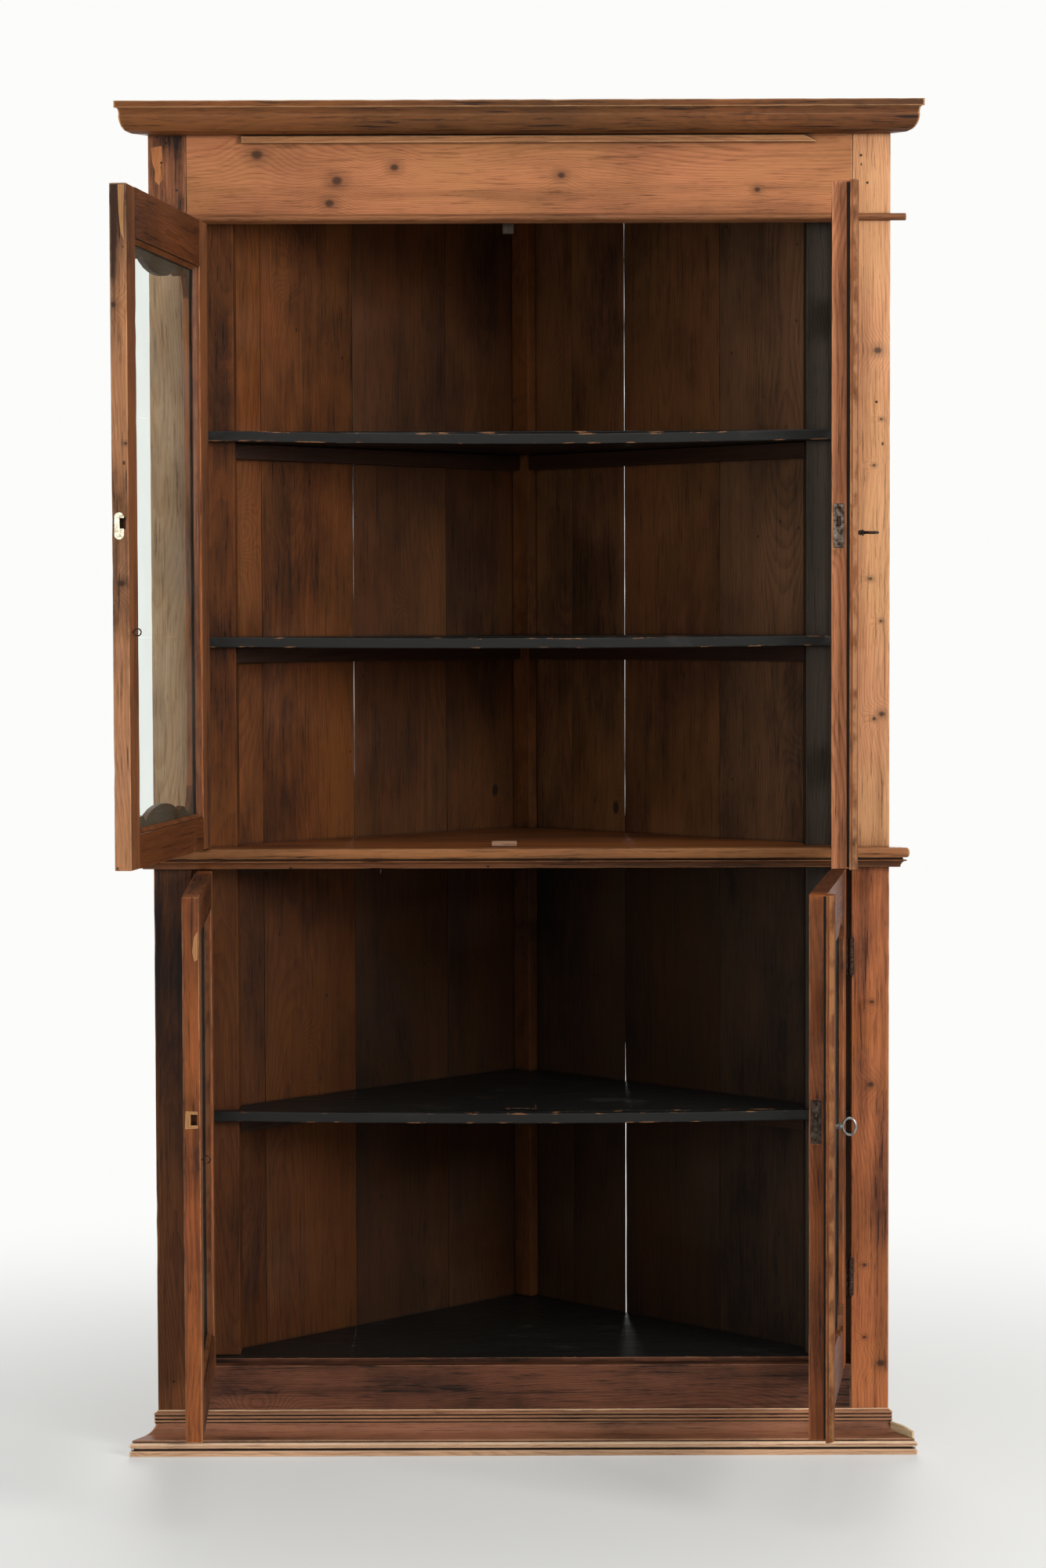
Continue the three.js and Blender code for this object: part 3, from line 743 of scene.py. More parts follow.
def arc(centre: tuple[float, float], radii: tuple[float, float], start: float, end: float, steps: int) -> Outline:
    """Give the points of an arc.

    Args:
        centre: Its middle.
        radii: Its half widths along the two axes.
        start: The angle in degrees where it starts.
        end: The angle where it ends.
        steps: How many straight steps it takes.

    Returns:
        The points, both ends included.
    """
    angles = [math.radians(start + (end - start) * i / steps) for i in range(steps + 1)]
    return [(centre[0] + radii[0] * math.cos(a), centre[1] + radii[1] * math.sin(a)) for a in angles]


def box(x0: float, x1: float, y0: float, y1: float, z0: float, z1: float) -> Solid:
    """Give a squared block between two levels on each axis."""
    low, high = min(x0, x1), max(x0, x1)
    return lined([(low, y0), (high, y0), (high, y1), (low, y1)], z0, z1)


def aged(solid: Solid, wear: Wear, way: Way, seed: float, cuts: Sequence[float] = ()) -> Solid:
    """Round, hollow and chip a solid as long use does. Material is only ever taken away.

    Args:
        solid: The sharp new piece.
        wear: How far the wear has gone.
        way: The axis that the piece runs along.
        seed: Makes each piece wear in its own way.
        cuts: Further places along it where it may change shape.

    Returns:
        The same solid, worn.
    """
    same_place, flat, sharp_from = 1e-6, math.radians(0.6), math.radians(28)
    hollows_in_a_metre, chips_in_a_metre, unchipped = 7, 38, 0.12
    bmesh.ops.remove_doubles(solid, verts=solid.verts, dist=same_place)
    bmesh.ops.dissolve_limit(solid, angle_limit=flat, verts=solid.verts, edges=solid.edges)
    worn = solid.verts.layers.float.new("worn")
    sharp = [e for e in solid.edges if len(e.link_faces) == 2 and e.calc_face_angle() > sharp_from]
    rounded = bmesh.ops.bevel(solid, geom=sharp, offset=wear.rounding * MM, offset_type="OFFSET", segments=2,
                              profile=0.5, affect="EDGES", clamp_overlap=True)
    for vert in rounded["verts"]:
        vert[worn] = 1.0
    places = [v.co[way.value] for v in solid.verts]
    low, high = min(places), max(places)
    count = max(1, round((high - low) / (wear.step * MM)))
    normal = Vector((0, 0, 0))
    normal[way.value] = 1.0
    for level in [low + (high - low) * i / count for i in range(1, count)] + [cut * MM for cut in cuts]:
        everything = solid.verts[:] + solid.edges[:] + solid.faces[:]
        bmesh.ops.bisect_plane(solid, geom=everything, dist=same_place, plane_co=normal * level, plane_no=normal)
    solid.normal_update()
    shift = Vector((seed, seed * 0.7, seed * 1.3))
    for vert in solid.verts:
        depth = wear.hollow * (noise.noise(vert.co * hollows_in_a_metre + shift) * 0.5 + 0.5)
        if vert[worn] > 0.5:
            depth += wear.chip * max(0.0, noise.noise(vert.co * chips_in_a_metre + shift) - unchipped)
        vert.co -= vert.normal * depth * MM
    return solid


class Workshop:
    """Makes meshes into named pieces of the cupboard."""

    def __init__(self) -> None:
        """Start with no pieces."""
        self.made: list[str] = []

    @staticmethod
    def seed(name: str) -> float:
        """Give a number between 0 and 1 that depends on a piece's name alone."""
        return zlib.crc32(name.encode()) % 9973 / 9973

    def piece(self, name: str, solid: Solid, finish: Finish, slot: str, body: str = "root",
              place: Matrix | None = None, grain: Grain = Grain.UPRIGHT, replaces: Iterable[str] = (),
              others: Iterable[tuple[Finish, FaceTest]] = ()) -> None:
        """Make a solid into a piece of the cupboard.

        Args:
            name: The piece's name.
            solid: Its mesh, which is used up.
            finish: Its finish.
            slot: The record's material slot. Not used.
            body: The body that it moves with.
            place: Where its own axes lie.
            grain: Which way its grain runs.
            replaces: The frame's nodes that it stands for.
            others: Further finishes, each with the test of a face that has it.
        """
        sharp_from = math.radians(20.0)
        mesh = bpy.data.meshes.new(name)
        solid.to_mesh(mesh)
        solid.free()
        for polygon in mesh.polygons:
            polygon.use_smooth = True
        mesh.set_sharp_from_angle(angle=sharp_from)
        thing = new_object(name, mesh)
        if place is not None:
            thing.matrix_world = place
        mesh.materials.append(finish.material())
        self.saw(thing, grain)
        for i, (other, has_it) in enumerate(others, 1):
            mesh.materials.append(other.material())
            for polygon in filter(has_it, mesh.polygons):
                polygon.material_index = i
        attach(thing, body)
        if replaces:
            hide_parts(*replaces)
        self.made.append(name)

    def saw(self, thing: bpy.types.Object, grain: Grain) -> None:
        """Tell an object's finish how it was sawn.

        Args:
            thing: The object, which is told where the heart of its trunk lay.
            grain: Which way its grain runs.
        """
        corners = [Vector(c) for c in thing.bound_box]
        seed = self.seed(thing.name)
        aside, behind, up_the_trunk = (seed - 0.5) * 0.13, 0.035 + 0.05 * ((seed * 7) % 1), (seed * 31) % 5
        offset = grain.matrix().inverted() @ Vector((aside, behind, up_the_trunk))
        thing["heart"] = list(sum(corners, Vector()) / len(corners) + offset)
        thing["grain"] = list(grain.matrix().to_euler("XYZ"))

    @staticmethod
    def from_node(name: str, place: Matrix) -> Solid:
        """Copy a node's solid into a piece's own axes."""
        solid = bmesh.new()
        solid.from_mesh(frame["nodes"][name].data)
        solid.transform(place.inverted())
        return solid


def front_knots(*places: tuple[float, float, float]) -> tuple[Knot, ...]:
    """Give knots on an upright face by their x, their z and their radius."""
    return tuple(Knot((x, 0.0, z), radius) for x, z, radius in places)


FRIEZE_KNOTS = front_knots(
    (-443, 2211, 12.5), (-211, 2189, 9.0), (-308, 2167, 11.5), (-321, 2129, 10.0), (71, 2175, 8.0), (402, 2150, 6.5),
)
STILE_KNOTS = front_knots(
    (606, 1879, 8.5), (600, 1685, 3.5), (612, 1763, 3.5), (594, 1493, 4.5), (612, 1421, 3.5), (614, 1263, 6.5),
    (601, 1255, 4.5),
)
LOW_STILE_KNOTS = front_knots((586, 193, 4.0), (614, 148, 9.0), (586, 318, 4.5), (598, 771, 4.5), (596, 629, 7.0))
LOCK_STILE_KNOTS = front_knots((-622, 1909, 6.5), (-604, 1697, 3.5), (-612, 1483, 7.5))

# Mouldings are planed to a profile, so only their arrises are rubbed and no face counts as an edge
moulding = partial(Pine, boards=False)
# Boards inside are stained dark and never handled: dull, with soft streaks, many small knots and hardly worn edges
inside_board = partial(Pine, streak=0.3, dash=0.3, blotch=170.0, edge_tone=0.3, roughness=(0.5, 0.75))
knotty_board = partial(inside_board, knot_every=230.0, knot_radius=9.0)
# Wood that the light grazes from behind is rougher, so that it keeps its colour
grazed = partial(Pine, stain_amount=0.5, edge_tone=0.5, roughness=(0.75, 0.95))

# The front in the light: warm orange brown, where rings and knots show through thin old wax
FRIEZE = Pine("waxed pine, frieze", "C07C54", "905636", "44260F", "D6A67A", amber="B4804A", amber_amount=0.35,
              ring_tone=0.42, dash=0.35, stain_amount=0.5, knots=FRIEZE_KNOTS)
BEAD = moulding("waxed pine, bead", "9A6440", "6E4024", "30190C", "D0A078", stain_amount=0.5, edge_tone=0.9)
STRIP = moulding("waxed pine, strip under the cornice", "B27C52", "845232", "341B0D", "DEB286", stain_amount=0.35,
                 edge_tone=1.0, edge_cover=0.5)
STILE = Pine("waxed pine, stiles", "DA9C70", "AC6E46", "5C3418", "E4BA92", amber="D2A26C", stain_amount=0.5,
             knots=STILE_KNOTS)
LOW_STILE = Pine("waxed pine, lower stile", "C2744A", "8C4C26", "3A1A0C", "D0925E", amber="B06C36", stain_amount=0.75,
                 knots=LOW_STILE_KNOTS)
# The left stile: dirty and blotched at the top, paler behind the open door as painted light where the door's shadow
# falls, and nearly black brown below as painted shade of the open lower door
DULL_STILE = Pine("dull brown pine, dirty", "A06442", "623A22", "1E0F08", "CC8A58", stain_amount=0.95, blotch=75.0)
PAINTED_LIGHT_STILE = Pine("dull brown pine, behind the open door", "F2CAA4", "C89870", "7A543A", "F0C8A0",
                       amber="E0B886", stain_amount=0.4, blotch=110.0)
SHADED_LOW_STILE = Pine("dark brown pine, unworn", "764420", "442412", "180A05", "A06636", stain_amount=0.8)
# The rail above the plinth: red brown and mottled, with a bright worn upper edge
RAIL = Pine("red brown pine", "7A4A34", "4A2A1A", "1A0D07", "A87454", stain_amount=0.85, blotch=95.0, dash=0.55,
            knot_every=210.0, knot_radius=9.0)
# Mouldings: even brown, with pale worn arrises
CORNICE = moulding("stained pine, cornice", "804C28", "56331A", "1C0D07", "CC9A6C", amber="744C24", ring_tone=0.3,
                   stain_amount=0.5, dash=0.6, edge_tone=0.95, edge_cover=0.55)
WAIST = moulding("stained pine, waist nosing", "A66C44", "764826", "2A170C", "D8A674", amber="9A683A",
                 ring_tone=0.15, stain_amount=0.5, edge_tone=1.0)
# The part under the nosing is darker than the nosing: painted shade under the nosing
SHADED_WAIST_LOW = moulding("stained pine, under the waist nosing", "7A4A2C", "4E2E18", "180D07", "9A6C48", ring_tone=0.15,
                     stain_amount=0.6, edge_tone=0.8)
PLINTH = moulding("stained pine, plinth hollow", "A46C50", "724630", "28160D", "D8AC88", amber="946244",
                  ring_tone=0.2, stain_amount=0.75, blotch=120.0, edge_tone=1.0, edge_cover=0.5)
REEDS = moulding("rubbed pine, plinth reeds", "B27C5A", "82543A", "24130A", "E2BC96", ring_tone=0.15,
                 stain_amount=0.4, edge=2.5, edge_tone=1.0, edge_cover=0.6, grime=1.4)
# Feet and brooms have rubbed the stain off the foot, so it is pinkish tan
PLINTH_FOOT = Pine("rubbed pine, bare along the foot", "E2B48E", "B08462", "4E2C1A", "F0CEAE", stain_amount=0.35,
                   edge_tone=1.0, edge_cover=0.6, grime=0.1)
# Inside: dark stained boards, darker near the corner as painted shade, with painted shade below the waist that is
# strongest on the right wall, which is greyer, and greenish on the right wall's front board
INSIDE = knotty_board("dark stained pine boards", "7E451E", "512911", "190B05", "80502E", amber="764820",
                      stain_amount=0.75, dusk=0.55)
CORNER_SHADED_INSIDE = knotty_board("dark stained pine boards, near the corner", "623617", "3E1F0E", "140904", "664024",
                           amber="583618", stain_amount=0.7, dusk=0.45)
RIGHT_INSIDE = knotty_board("dark stained pine boards, shaded side", "825030", "58361F", "20120A", "80583A",
                            amber="6E4E26", stain_amount=0.75, dusk=0.19)
SHADED_FRONT_INSIDE = inside_board("dark stained pine, greenish", "785236", "4C3424", "18100A", "7E6040", stain_amount=0.8,
                          dusk=0.3)
SHELF_FLOOR = Pine("stained pine, waist board", "8A5028", "5E3218", "2C160C", "9C6842", stain_amount=0.6)
# Cleats under the shelves are nearly black: painted shade under the shelves
SHADED_CLEAT = Pine("dark pine shelf cleats", "3A2216", "26150D", "120906", "4E3222", stain_amount=0.6, edge_tone=0.3)
# The right front post, set back behind the frame, and the upper door stop are painted dark: painted shade
SHADED_POST = Pine("dark pine post", "3B3026", "271F17", "100E0A", "50463A", stain_amount=0.6, edge_tone=0.3)
# Bare pine that no one sees has gone grey brown with age, dull and without wax
BACKS = Pine("bare pine boards, darkened by age", "9A7450", "745236", "45301F", "B08C64", stain_amount=0.45)
WALL_BACKS = Pine("bare pine boards, never stained", "8A6746", "644730", "38261A", "A08060", amber="84684A",
                  roughness=(0.6, 0.85))
# Doors: red brown under wax that hands keep bright, paler where the doors meet
DOOR = Pine("red brown waxed pine, doors", "A65C34", "6E381A", "2A130A", "C08A5E", amber="985A2A", ring_tone=0.5,
            stain_amount=0.75, blotch=140.0, roughness=(0.34, 0.55))
PALE_DOOR = Pine("worn pine, door edge", "C48E6C", "8E5C40", "341E12", "D8AC88", amber="BC7C40", stain_amount=0.9,
                 blotch=120.0, knots=LOCK_STILE_KNOTS)
DARK_DOOR = Pine("dark red brown pine, rails", "6E3E22", "4A2612", "1C0D06", "8E5C38", stain_amount=0.7,
                 edge_tone=0.3)
WARM_EDGE = Pine("red brown waxed pine, handled edge", "E2966A", "A86440", "46240F", "D09C70", ring_tone=0.5,
                 stain_amount=0.5, roughness=(0.5, 0.7))
SCROLL = Pine("waxed pine, scrolls behind the glass", "A47E56", "745436", "38241A", "B89468", stain_amount=0.5)
INNER_DOOR = grazed("dark red brown pine, backs of doors", "86522F", "5C3218", "24110A", "A07048", stain_amount=0.7)
PALE_LIP = grazed("waxed pine, cover lip above", "8C5634", "603820", "2C170C", "C08C62")
LIP = grazed("dark waxed pine, cover lip below", "7A4626", "4E2A14", "1E0F08", "B07A4C")
# Small places: painted shade in narrow gaps and grooves is nearly black, and pine without its stain shows raw
# yellow, cream or orange
SHADE_PINE = Pine("pine under old dirt", "22150D", "180E08", "0E0805", "30200F", stain_amount=0.5)
STOP = Pine("bare pine block", "C09478", "946A50", "4A3022", "D0AA8C", stain_amount=0.3)
RAW = Pine("raw pine, where stain is worn off", "BA8656", "96683E", "6E4526", "C89A6C", stain_amount=0.3)
CREAM = moulding("raw pine, fresh cut block", "E4CCA4", "CCAA7C", "8A6440", "EAD8B4", stain_amount=0.2)
BARE = moulding("bare orange pine, stain worn off", "C8824E", "9C5E34", "5A3018", "D49A66", stain_amount=0.35)
# Shelves: black oil paint laid on with a brush, dusty, with wood showing along the front edges
BLACK = Paint("black oil paint on pine", "131210", "2B2724", "8E6242")
# Fittings: filed or forged by hand, under rust, black or dirt that leaves only specks bright
IRON = Metal("brown wrought iron", "5A5048", "35231A", 0.65, (0.4, 0.75))
PLATE = Metal("rusted iron lock plate", "8D8378", "4A3426", 0.5, (0.45, 0.8), metallic=0.6, speck=9.0)
DARK_PLATE = Metal("blackened iron lock plate", "54483E", "2E221A", 0.6, (0.45, 0.8), metallic=0.6, speck=9.0)
STEEL = Metal("grey filed steel", "8B8A86", "3E3A36", 0.35, (0.3, 0.55))
NICKEL = Metal("worn nickelled brass", "CFC9B4", "8A7A58", 0.35, (0.25, 0.5), metallic=0.8)
# Panes: drawn by hand, so that they are clear with soft waves
GLASS = Glass("old drawn window glass")

# Which way a board's grain runs where it lies along a wall
ALONG_WALLS = {"left": Grain.ALONG_LEFT_WALL, "right": Grain.ALONG_RIGHT_WALL}
# Pieces inside are hardly touched, while hands rub and knock the doors' stiles
LIGHT_WEAR = Wear(1.4, 70, 0.3, 1.0)
HANDLED = Wear(1.7, 26, 0.3, 1.5)


@dataclass
class Case:
    """The fixed case: front frame, mouldings, walls, posts, shelves and small fixed trim."""

    shop: Workshop
    half_width: float = 628.0
    stile: float = 65.0
    front: float = 27.0
    top: float = 2277.0
    wall: float = 18.0
    lid: float = 18.0
    waist_board: float = 22.0
    waist: float = 1037.0
    frieze: float = 2097.0
    cornice: float = 52.0
    waist_moulding: float = 34.0
    gap: float = 0.3
    seam: float = 0.7
    wear: Wear = field(default_factory=Wear)
    # For each wall, the crack's width, and by level the share of it that stands open
    cracks: dict[int, tuple[float, tuple[tuple[float, float], ...]]] = field(default_factory=lambda: {
        -1: (2.6, ((0, 0.1), (540, 0.2), (600, 0.05), (1030, 0.05), (1060, 0.3), (1150, 0.45), (1330, 0.65),
                   (1390, 0.3), (1480, 0.35), (1700, 0.55), (1760, 0.15), (2280, 0.05))),
        1: (3.6, ((0, 0.6), (560, 0.6), (600, 0.25), (660, 0.0), (1030, 0.0), (1060, 0.2), (1390, 0.35),
                  (1750, 0.3), (2280, 0.15))),
    })

    def __post_init__(self) -> None:
        """Find where the case's own axes lie in the frame."""
        self.place = Matrix.Translation((0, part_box("base_rail")[0].y, 0))
        self.opening = self.half_width - self.stile

    def build(self) -> None:
        """Make the whole case."""
        self.front_frame()
        self.mouldings()
        self.grooves()
        self.end_block()
        self.walls()
        self.boards()
        self.stops()
        self.waist_cleats()
        self.small_trim()

    def piece(self, name: str, solid: Solid, finish: Finish, slot: str, grain: Grain = Grain.SIDEWAYS,
              **more: object) -> None:
        """Make a solid drawn in the case's axes into a fixed piece."""
        self.shop.piece(name, solid, finish, slot, place=self.place, grain=grain, **more)

    def worn_node(self, node: str, finish: Finish, slot: str, way: Way, grain: Grain, wear: Wear | None = None,
                  others: Iterable[tuple[Finish, FaceTest]] = ()) -> None:
        """Stand a worn piece in for a node.

        Args:
            node: The node.
            finish: The piece's finish.
            slot: The record's material slot.
            way: The axis that it runs along.
            grain: Which way its grain runs.
            wear: How it has aged, where that differs from the rest.
            others: Further finishes, each with the test of a face that has it.
        """
        solid = aged(self.shop.from_node(node, self.place), wear or self.wear, way, 40 * self.shop.seed(node))
        self.piece(f"{node}_worn", solid, finish, slot, grain, replaces=[node], others=others)

    def front_frame(self) -> None:
        """Make the stiles, the rail and the frieze with its bead."""
        joint = self.waist - 20
        # The lower left stile is nearly black brown: painted shade of the open lower door
        finishes = {"left": (SHADED_LOW_STILE, DULL_STILE), "right": (LOW_STILE, STILE)}
        for (tag, finish), side in zip(finishes.items(), (-1, 1)):
            outline = [(side * self.opening, 0), (side * self.half_width, 0),
                       (side * (self.half_width - self.front), self.front), (side * self.opening, self.front)]
            for i, (low, high) in enumerate(((0, joint), (joint, self.top))):
                name = f"stile_{tag}_{('lower', 'upper')[i]}"
                board = aged(lined(outline, low, high), self.wear, Way.Z, 40 * self.shop.seed(name))
                others = []
                # Below the frieze the upper left stile is paler: painted light where the open door's shadow falls
                if finish[i] is DULL_STILE:
                    others = [(PAINTED_LIGHT_STILE, lambda face: face.center.z < self.frieze * MM)]
                self.piece(name, board, finish[i], "pine_outside", Grain.UPRIGHT, replaces=[f"stile_{tag}"],
                           others=others)
        self.worn_node("base_rail", RAIL, "pine_outside", Way.X, Grain.SIDEWAYS)
        board = box(-self.opening, self.opening, 0, self.front, self.frieze, self.top)
        self.piece("frieze_board_worn", aged(board, self.wear, Way.X, 3.0), FRIEZE, "pine_outside",
                   replaces=["frieze_board"])
        low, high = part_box("frieze_board")
        height, projection = 13.0, 10.0
        bead = lined(arc((0, self.frieze + height / 2), (projection, height / 2), 90, 270, 14), low.x / MM,
                     high.x / MM, Way.X)
        self.piece("frieze_bead", aged(bead, Wear(1.2, 22, 0.3, 1.0), Way.X, 9.0), BEAD, "pine_outside")

    def mitred(self, profile: Outline, bottom: float) -> Solid:
        """Run a moulding across the front, cut at both ends to the room's walls.

        Args:
            profile: Points of projection and height.
            bottom: The level of its lower edge.

        Returns:
            The moulding.
        """
        outline = [(-projection, height + bottom) for projection, height in profile]
        solid = lined(outline, -self.half_width, self.half_width, Way.X)
        for vert in solid.verts:
            vert.co.x += math.copysign(-vert.co.y, vert.co.x)
        return solid

    def mouldings(self) -> None:
        """Make the cornice, the waist moulding and the plinth moulding from profiles of projection and height."""
        cornice = [
            (0, 0), (24, 0), *arc((24, 28), (20, 28), -60, 0, 8), *arc((47, 28.3), (3.5, 11.7), 180, 90, 8),
            (51, 40), (51, 52), (0, 52),
        ]
        waist_low = [(0, 0), (17, 0), *arc((27, 0), (10, 11), 180, 90, 7)[1:], (27, 13.6), (21, 14.2), (21, 17),
                     (0, 17)]
        nosing = [(0, 17), (27, 17), *arc((27, 25.5), (4, 8.5), -90, 90, 12)[1:], (0, 34)]
        hollow = [(0, 24), (40, 24), (40, 27.25), (30, 29), *arc((30, 48.9), (26, 19.4), -90, -180, 12)[1:], (0, 48.9)]
        torus = [(0, 9.5), (38, 9.5), (38, 12), *arc((39, 17.8), (6, 5.4), -80, 90, 12)[1:], (38, 24), (0, 24)]
        foot = [(0, 0), (45, 0), (45, 9.0), (42, 9.5), (0, 9.5)]
        reeds: Outline = [(0, 48.9), (4, 48.9)]
        for i in range(3):
            reeds += arc((2.2, 52 + 6.17 * i), (3.8, 3.08), -90, 90, 10)[0 if i == 0 else 1:]
        reeds.append((0, 70.5))
        rubbed, planed = Wear(0.9, 20, 0.35, 1.7), Wear(0.5, 20, 0.2, 0.9)
        under_top, under_waist = self.top + self.lid - self.cornice, self.waist - self.waist_moulding
        for i, (node, profile, bottom, finish, slot, wear) in enumerate((
            ("cornice", cornice, under_top, CORNICE, "pine_moulding", rubbed),
            ("waist_moulding", waist_low, under_waist, SHADED_WAIST_LOW, "pine_moulding", rubbed),
            ("waist_moulding", nosing, under_waist, WAIST, "pine_moulding", rubbed),
            ("plinth_moulding", hollow, 0.0, PLINTH, "pine_plinth", planed),
            ("plinth_moulding", torus, 0.0, PLINTH_FOOT, "pine_plinth", planed),
            ("plinth_moulding", foot, 0.0, PLINTH_FOOT, "pine_plinth", planed),
            ("plinth_moulding", reeds, 0.0, REEDS, "pine_plinth", planed),
        ), 1):
            solid = aged(self.mitred(profile, bottom), wear, Way.X, 50 * self.shop.seed(node))
            self.piece(f"{node}_run_{i}", solid, finish, slot, replaces=[node])

    def grooves(self) -> None:
        """Fill the plinth's grooves with dark strips of painted shade: lower and upper level, and how far out each
        lies.
        """
        grooves = ((9.7, 11.7, 42.0), (23.2, 24.8, 40.3), (48.3, 49.9, 5.0), (54.0, 56.2, 5.0), (60.2, 62.4, 5.0))
        for i, (low, high, reach) in enumerate(grooves):
            dirt_and_shade = self.mitred([(0, low), (reach, low), (reach, high), (0, high)], 0.0)
            dirt_and_shade = aged(dirt_and_shade, Wear(0.2, 20, 0.3, 0.6), Way.X, 13.0 + i)
            self.piece(f"plinth_groove_{i + 1}", dirt_and_shade, SHADE_PINE, "pine_plinth")

    def end_block(self) -> None:
        """Set the bare block that fills the hollow of the plinth's right end, along the room's wall."""
        outline, thick = [(8, 49), (34, 46), (56, 39), (56, 28), (8, 28)], 5.0
        block = aged(lined(outline, 0, thick, Way.Y), Wear(0.6, 12, 0.2, 0.6), Way.X, 21.0)
        place = self.place @ at(self.half_width - self.gap, 0, 0) @ turn(-45, "Z") @ at(0, -thick, 0)
        self.shop.piece("plinth_end_block", block, CREAM, "pine_plinth", place=place, grain=Grain.SIDEWAYS)

    def wall_point(self, side: int, along: float, inward: float) -> tuple[float, float]:
        """Give a point in plan by its distance from the outer corner along a wall and its depth in the wall."""
        return (side * (along - inward) / math.sqrt(2), self.half_width - (along + inward) / math.sqrt(2))

    def walls(self) -> None:
        """Make the wall boards, with their seams, and the lid."""
        end = (self.half_width - self.front) * math.sqrt(2) - self.gap
        light = Wear(0.8, 40, 0.3, 0.8)
        for tag, side, marks in (
            ("left_rear", -1, (self.wall + self.gap, 211.0, 440.7)),
            ("left_front", -1, (443.3, 655.0, end)),
            ("right_rear", 1, (0.0, 152.0, 285.2)),
            ("right_front", 1, (288.8, 516.0, end)),
        ):
            outward = Vector((side, 1, 0)).normalized()
            for i, (start, stop) in enumerate(zip(marks, marks[1:])):
                first = start + (self.seam / 2 if i else 0)
                last = stop - (self.seam / 2 if i + 2 < len(marks) else 0)
                # Boards meet the crack with slanted edges, so daylight shows through from the front
                outer_first = first - (self.wall if "front" in tag and i == 0 else 0)
                outer_last = last - (self.wall if "rear" in tag and i + 2 == len(marks) else 0)
                inner_last = last - (self.wall if stop == end else 0)
                outline = [
                    self.wall_point(side, outer_first, 0), self.wall_point(side, outer_last, 0),
                    self.wall_point(side, inner_last, self.wall), self.wall_point(side, first, self.wall),
                ]
                name = f"wall_board_{tag}_{i + 1}"
                board = aged(lined(outline, 0, self.top - self.gap), light, Way.Z, 60 * self.shop.seed(name))
                if "front" in tag and i == 0:
                    self.close_crack(board, side, first)
                # Boards near the corner and on the right wall take finishes with more painted shade
                finish = CORNER_SHADED_INSIDE if tag == "left_rear" else INSIDE
                if side > 0:
                    finish = SHADED_FRONT_INSIDE if stop == end else RIGHT_INSIDE
                self.piece(name, board, finish, "pine_inside", Grain.RIGHT_WALL if side > 0 else Grain.LEFT_WALL,
                           replaces=[] if i else [f"wall_{tag}"],
                           others=[(WALL_BACKS, lambda face, way=outward: face.normal.dot(way) > 0.6)])
        self.worn_node("top_board", BACKS, "pine_inside", Way.X, Grain.SIDEWAYS, Wear(1.0, 60, 0.3, 0.8))

    def close_crack(self, board: Solid, side: int, edge: float) -> None:
        """Let a board lean on its neighbour, so that the crack between them is open only in places.

        Args:
            board: The board, whose slanted edge lies on the crack.
            side: 1 on the right wall and -1 on the left one.
            edge: How far along the wall its inner edge lies.
        """
        near_edge, flutter, flutter_every = 6, 0.25, 60
        width, shares = self.cracks[side]
        for vert in board.verts:
            x, y = vert.co.x / MM * side, vert.co.y / MM
            along = (x + self.half_width - y) / math.sqrt(2)
            inward = (self.half_width - y - x) / math.sqrt(2)
            if along - edge < inward - self.wall + near_edge:
                level = vert.co.z / MM
                share = shares[-1][1]
                for (z0, s0), (z1, s1) in zip(shares, shares[1:]):
                    if level <= z1:
                        share = s0 + (s1 - s0) * max(0.0, (level - z0) / (z1 - z0))
                        break
                share = max(0.0, share + flutter * noise.noise(Vector((0, side, level / flutter_every))))
                shut = width * (1 - min(1.0, share)) / math.sqrt(2) * MM
                vert.co.x -= side * shut
                vert.co.y += shut

    def boards(self) -> None:
        """Make the posts, the shelves with their cleats, the floor and the waist board."""
        for node, finish in (("corner_post", INSIDE), ("front_post_left", INSIDE), ("front_post_right", SHADED_POST)):
            self.worn_node(node, finish, "pine_inside", Way.Z, Grain.UPRIGHT, LIGHT_WEAR)
        for shelf in ("lower_shelf", "middle_shelf", "upper_shelf"):
            self.worn_node(shelf, BLACK, "black_paint", Way.X, Grain.SIDEWAYS, Wear(1.8, 24, 0.3, 1.6))
            for tag, grain in ALONG_WALLS.items():
                self.worn_node(f"{shelf}_cleat_{tag}", SHADED_CLEAT, "pine_inside", Way.X, grain, LIGHT_WEAR)
        self.worn_node("floor_board", BLACK, "black_paint", Way.X, Grain.SIDEWAYS, LIGHT_WEAR,
                       [(RAIL, lambda face: face.normal.y < -0.4)])
        self.worn_node("waist_board", SHELF_FLOOR, "pine_waist", Way.X, Grain.SIDEWAYS, LIGHT_WEAR)

    def stops(self) -> None:
        """Make the strip under the cornice and the blocks that stop the doors above and below."""
        outline = [(-469, 2229.5), (502, 2229.5), (480, 2241), (-469, 2241)]
        strip = aged(lined(outline, -9.0, 0, Way.Y), Wear(1.0, 30, 0.2, 0.8), Way.X, 4.0)
        self.piece("cornice_strip", strip, STRIP, "pine_outside")
        block = box(-51, -8, self.front + 1, self.front + 19, self.waist, self.waist + 9)
        block = aged(block, Wear(1.2, 12, 0.2, 0.8), Way.X, 5.0)
        self.piece("lower_door_stop", block, STOP, "pine_waist")
        block = box(-29, -10, self.front, self.front + 16, self.frieze - 17, self.frieze - 4)
        block = aged(block, Wear(1.0, 12, 0.2, 0.8), Way.X, 6.0)
        hanger = box(-29, -10, self.front + self.gap, self.front + 16, self.frieze - 4.5, self.frieze + 30)
        self.piece("upper_door_stop", together(block, hanger), SHADED_POST, "pine_inside", Grain.UPRIGHT)

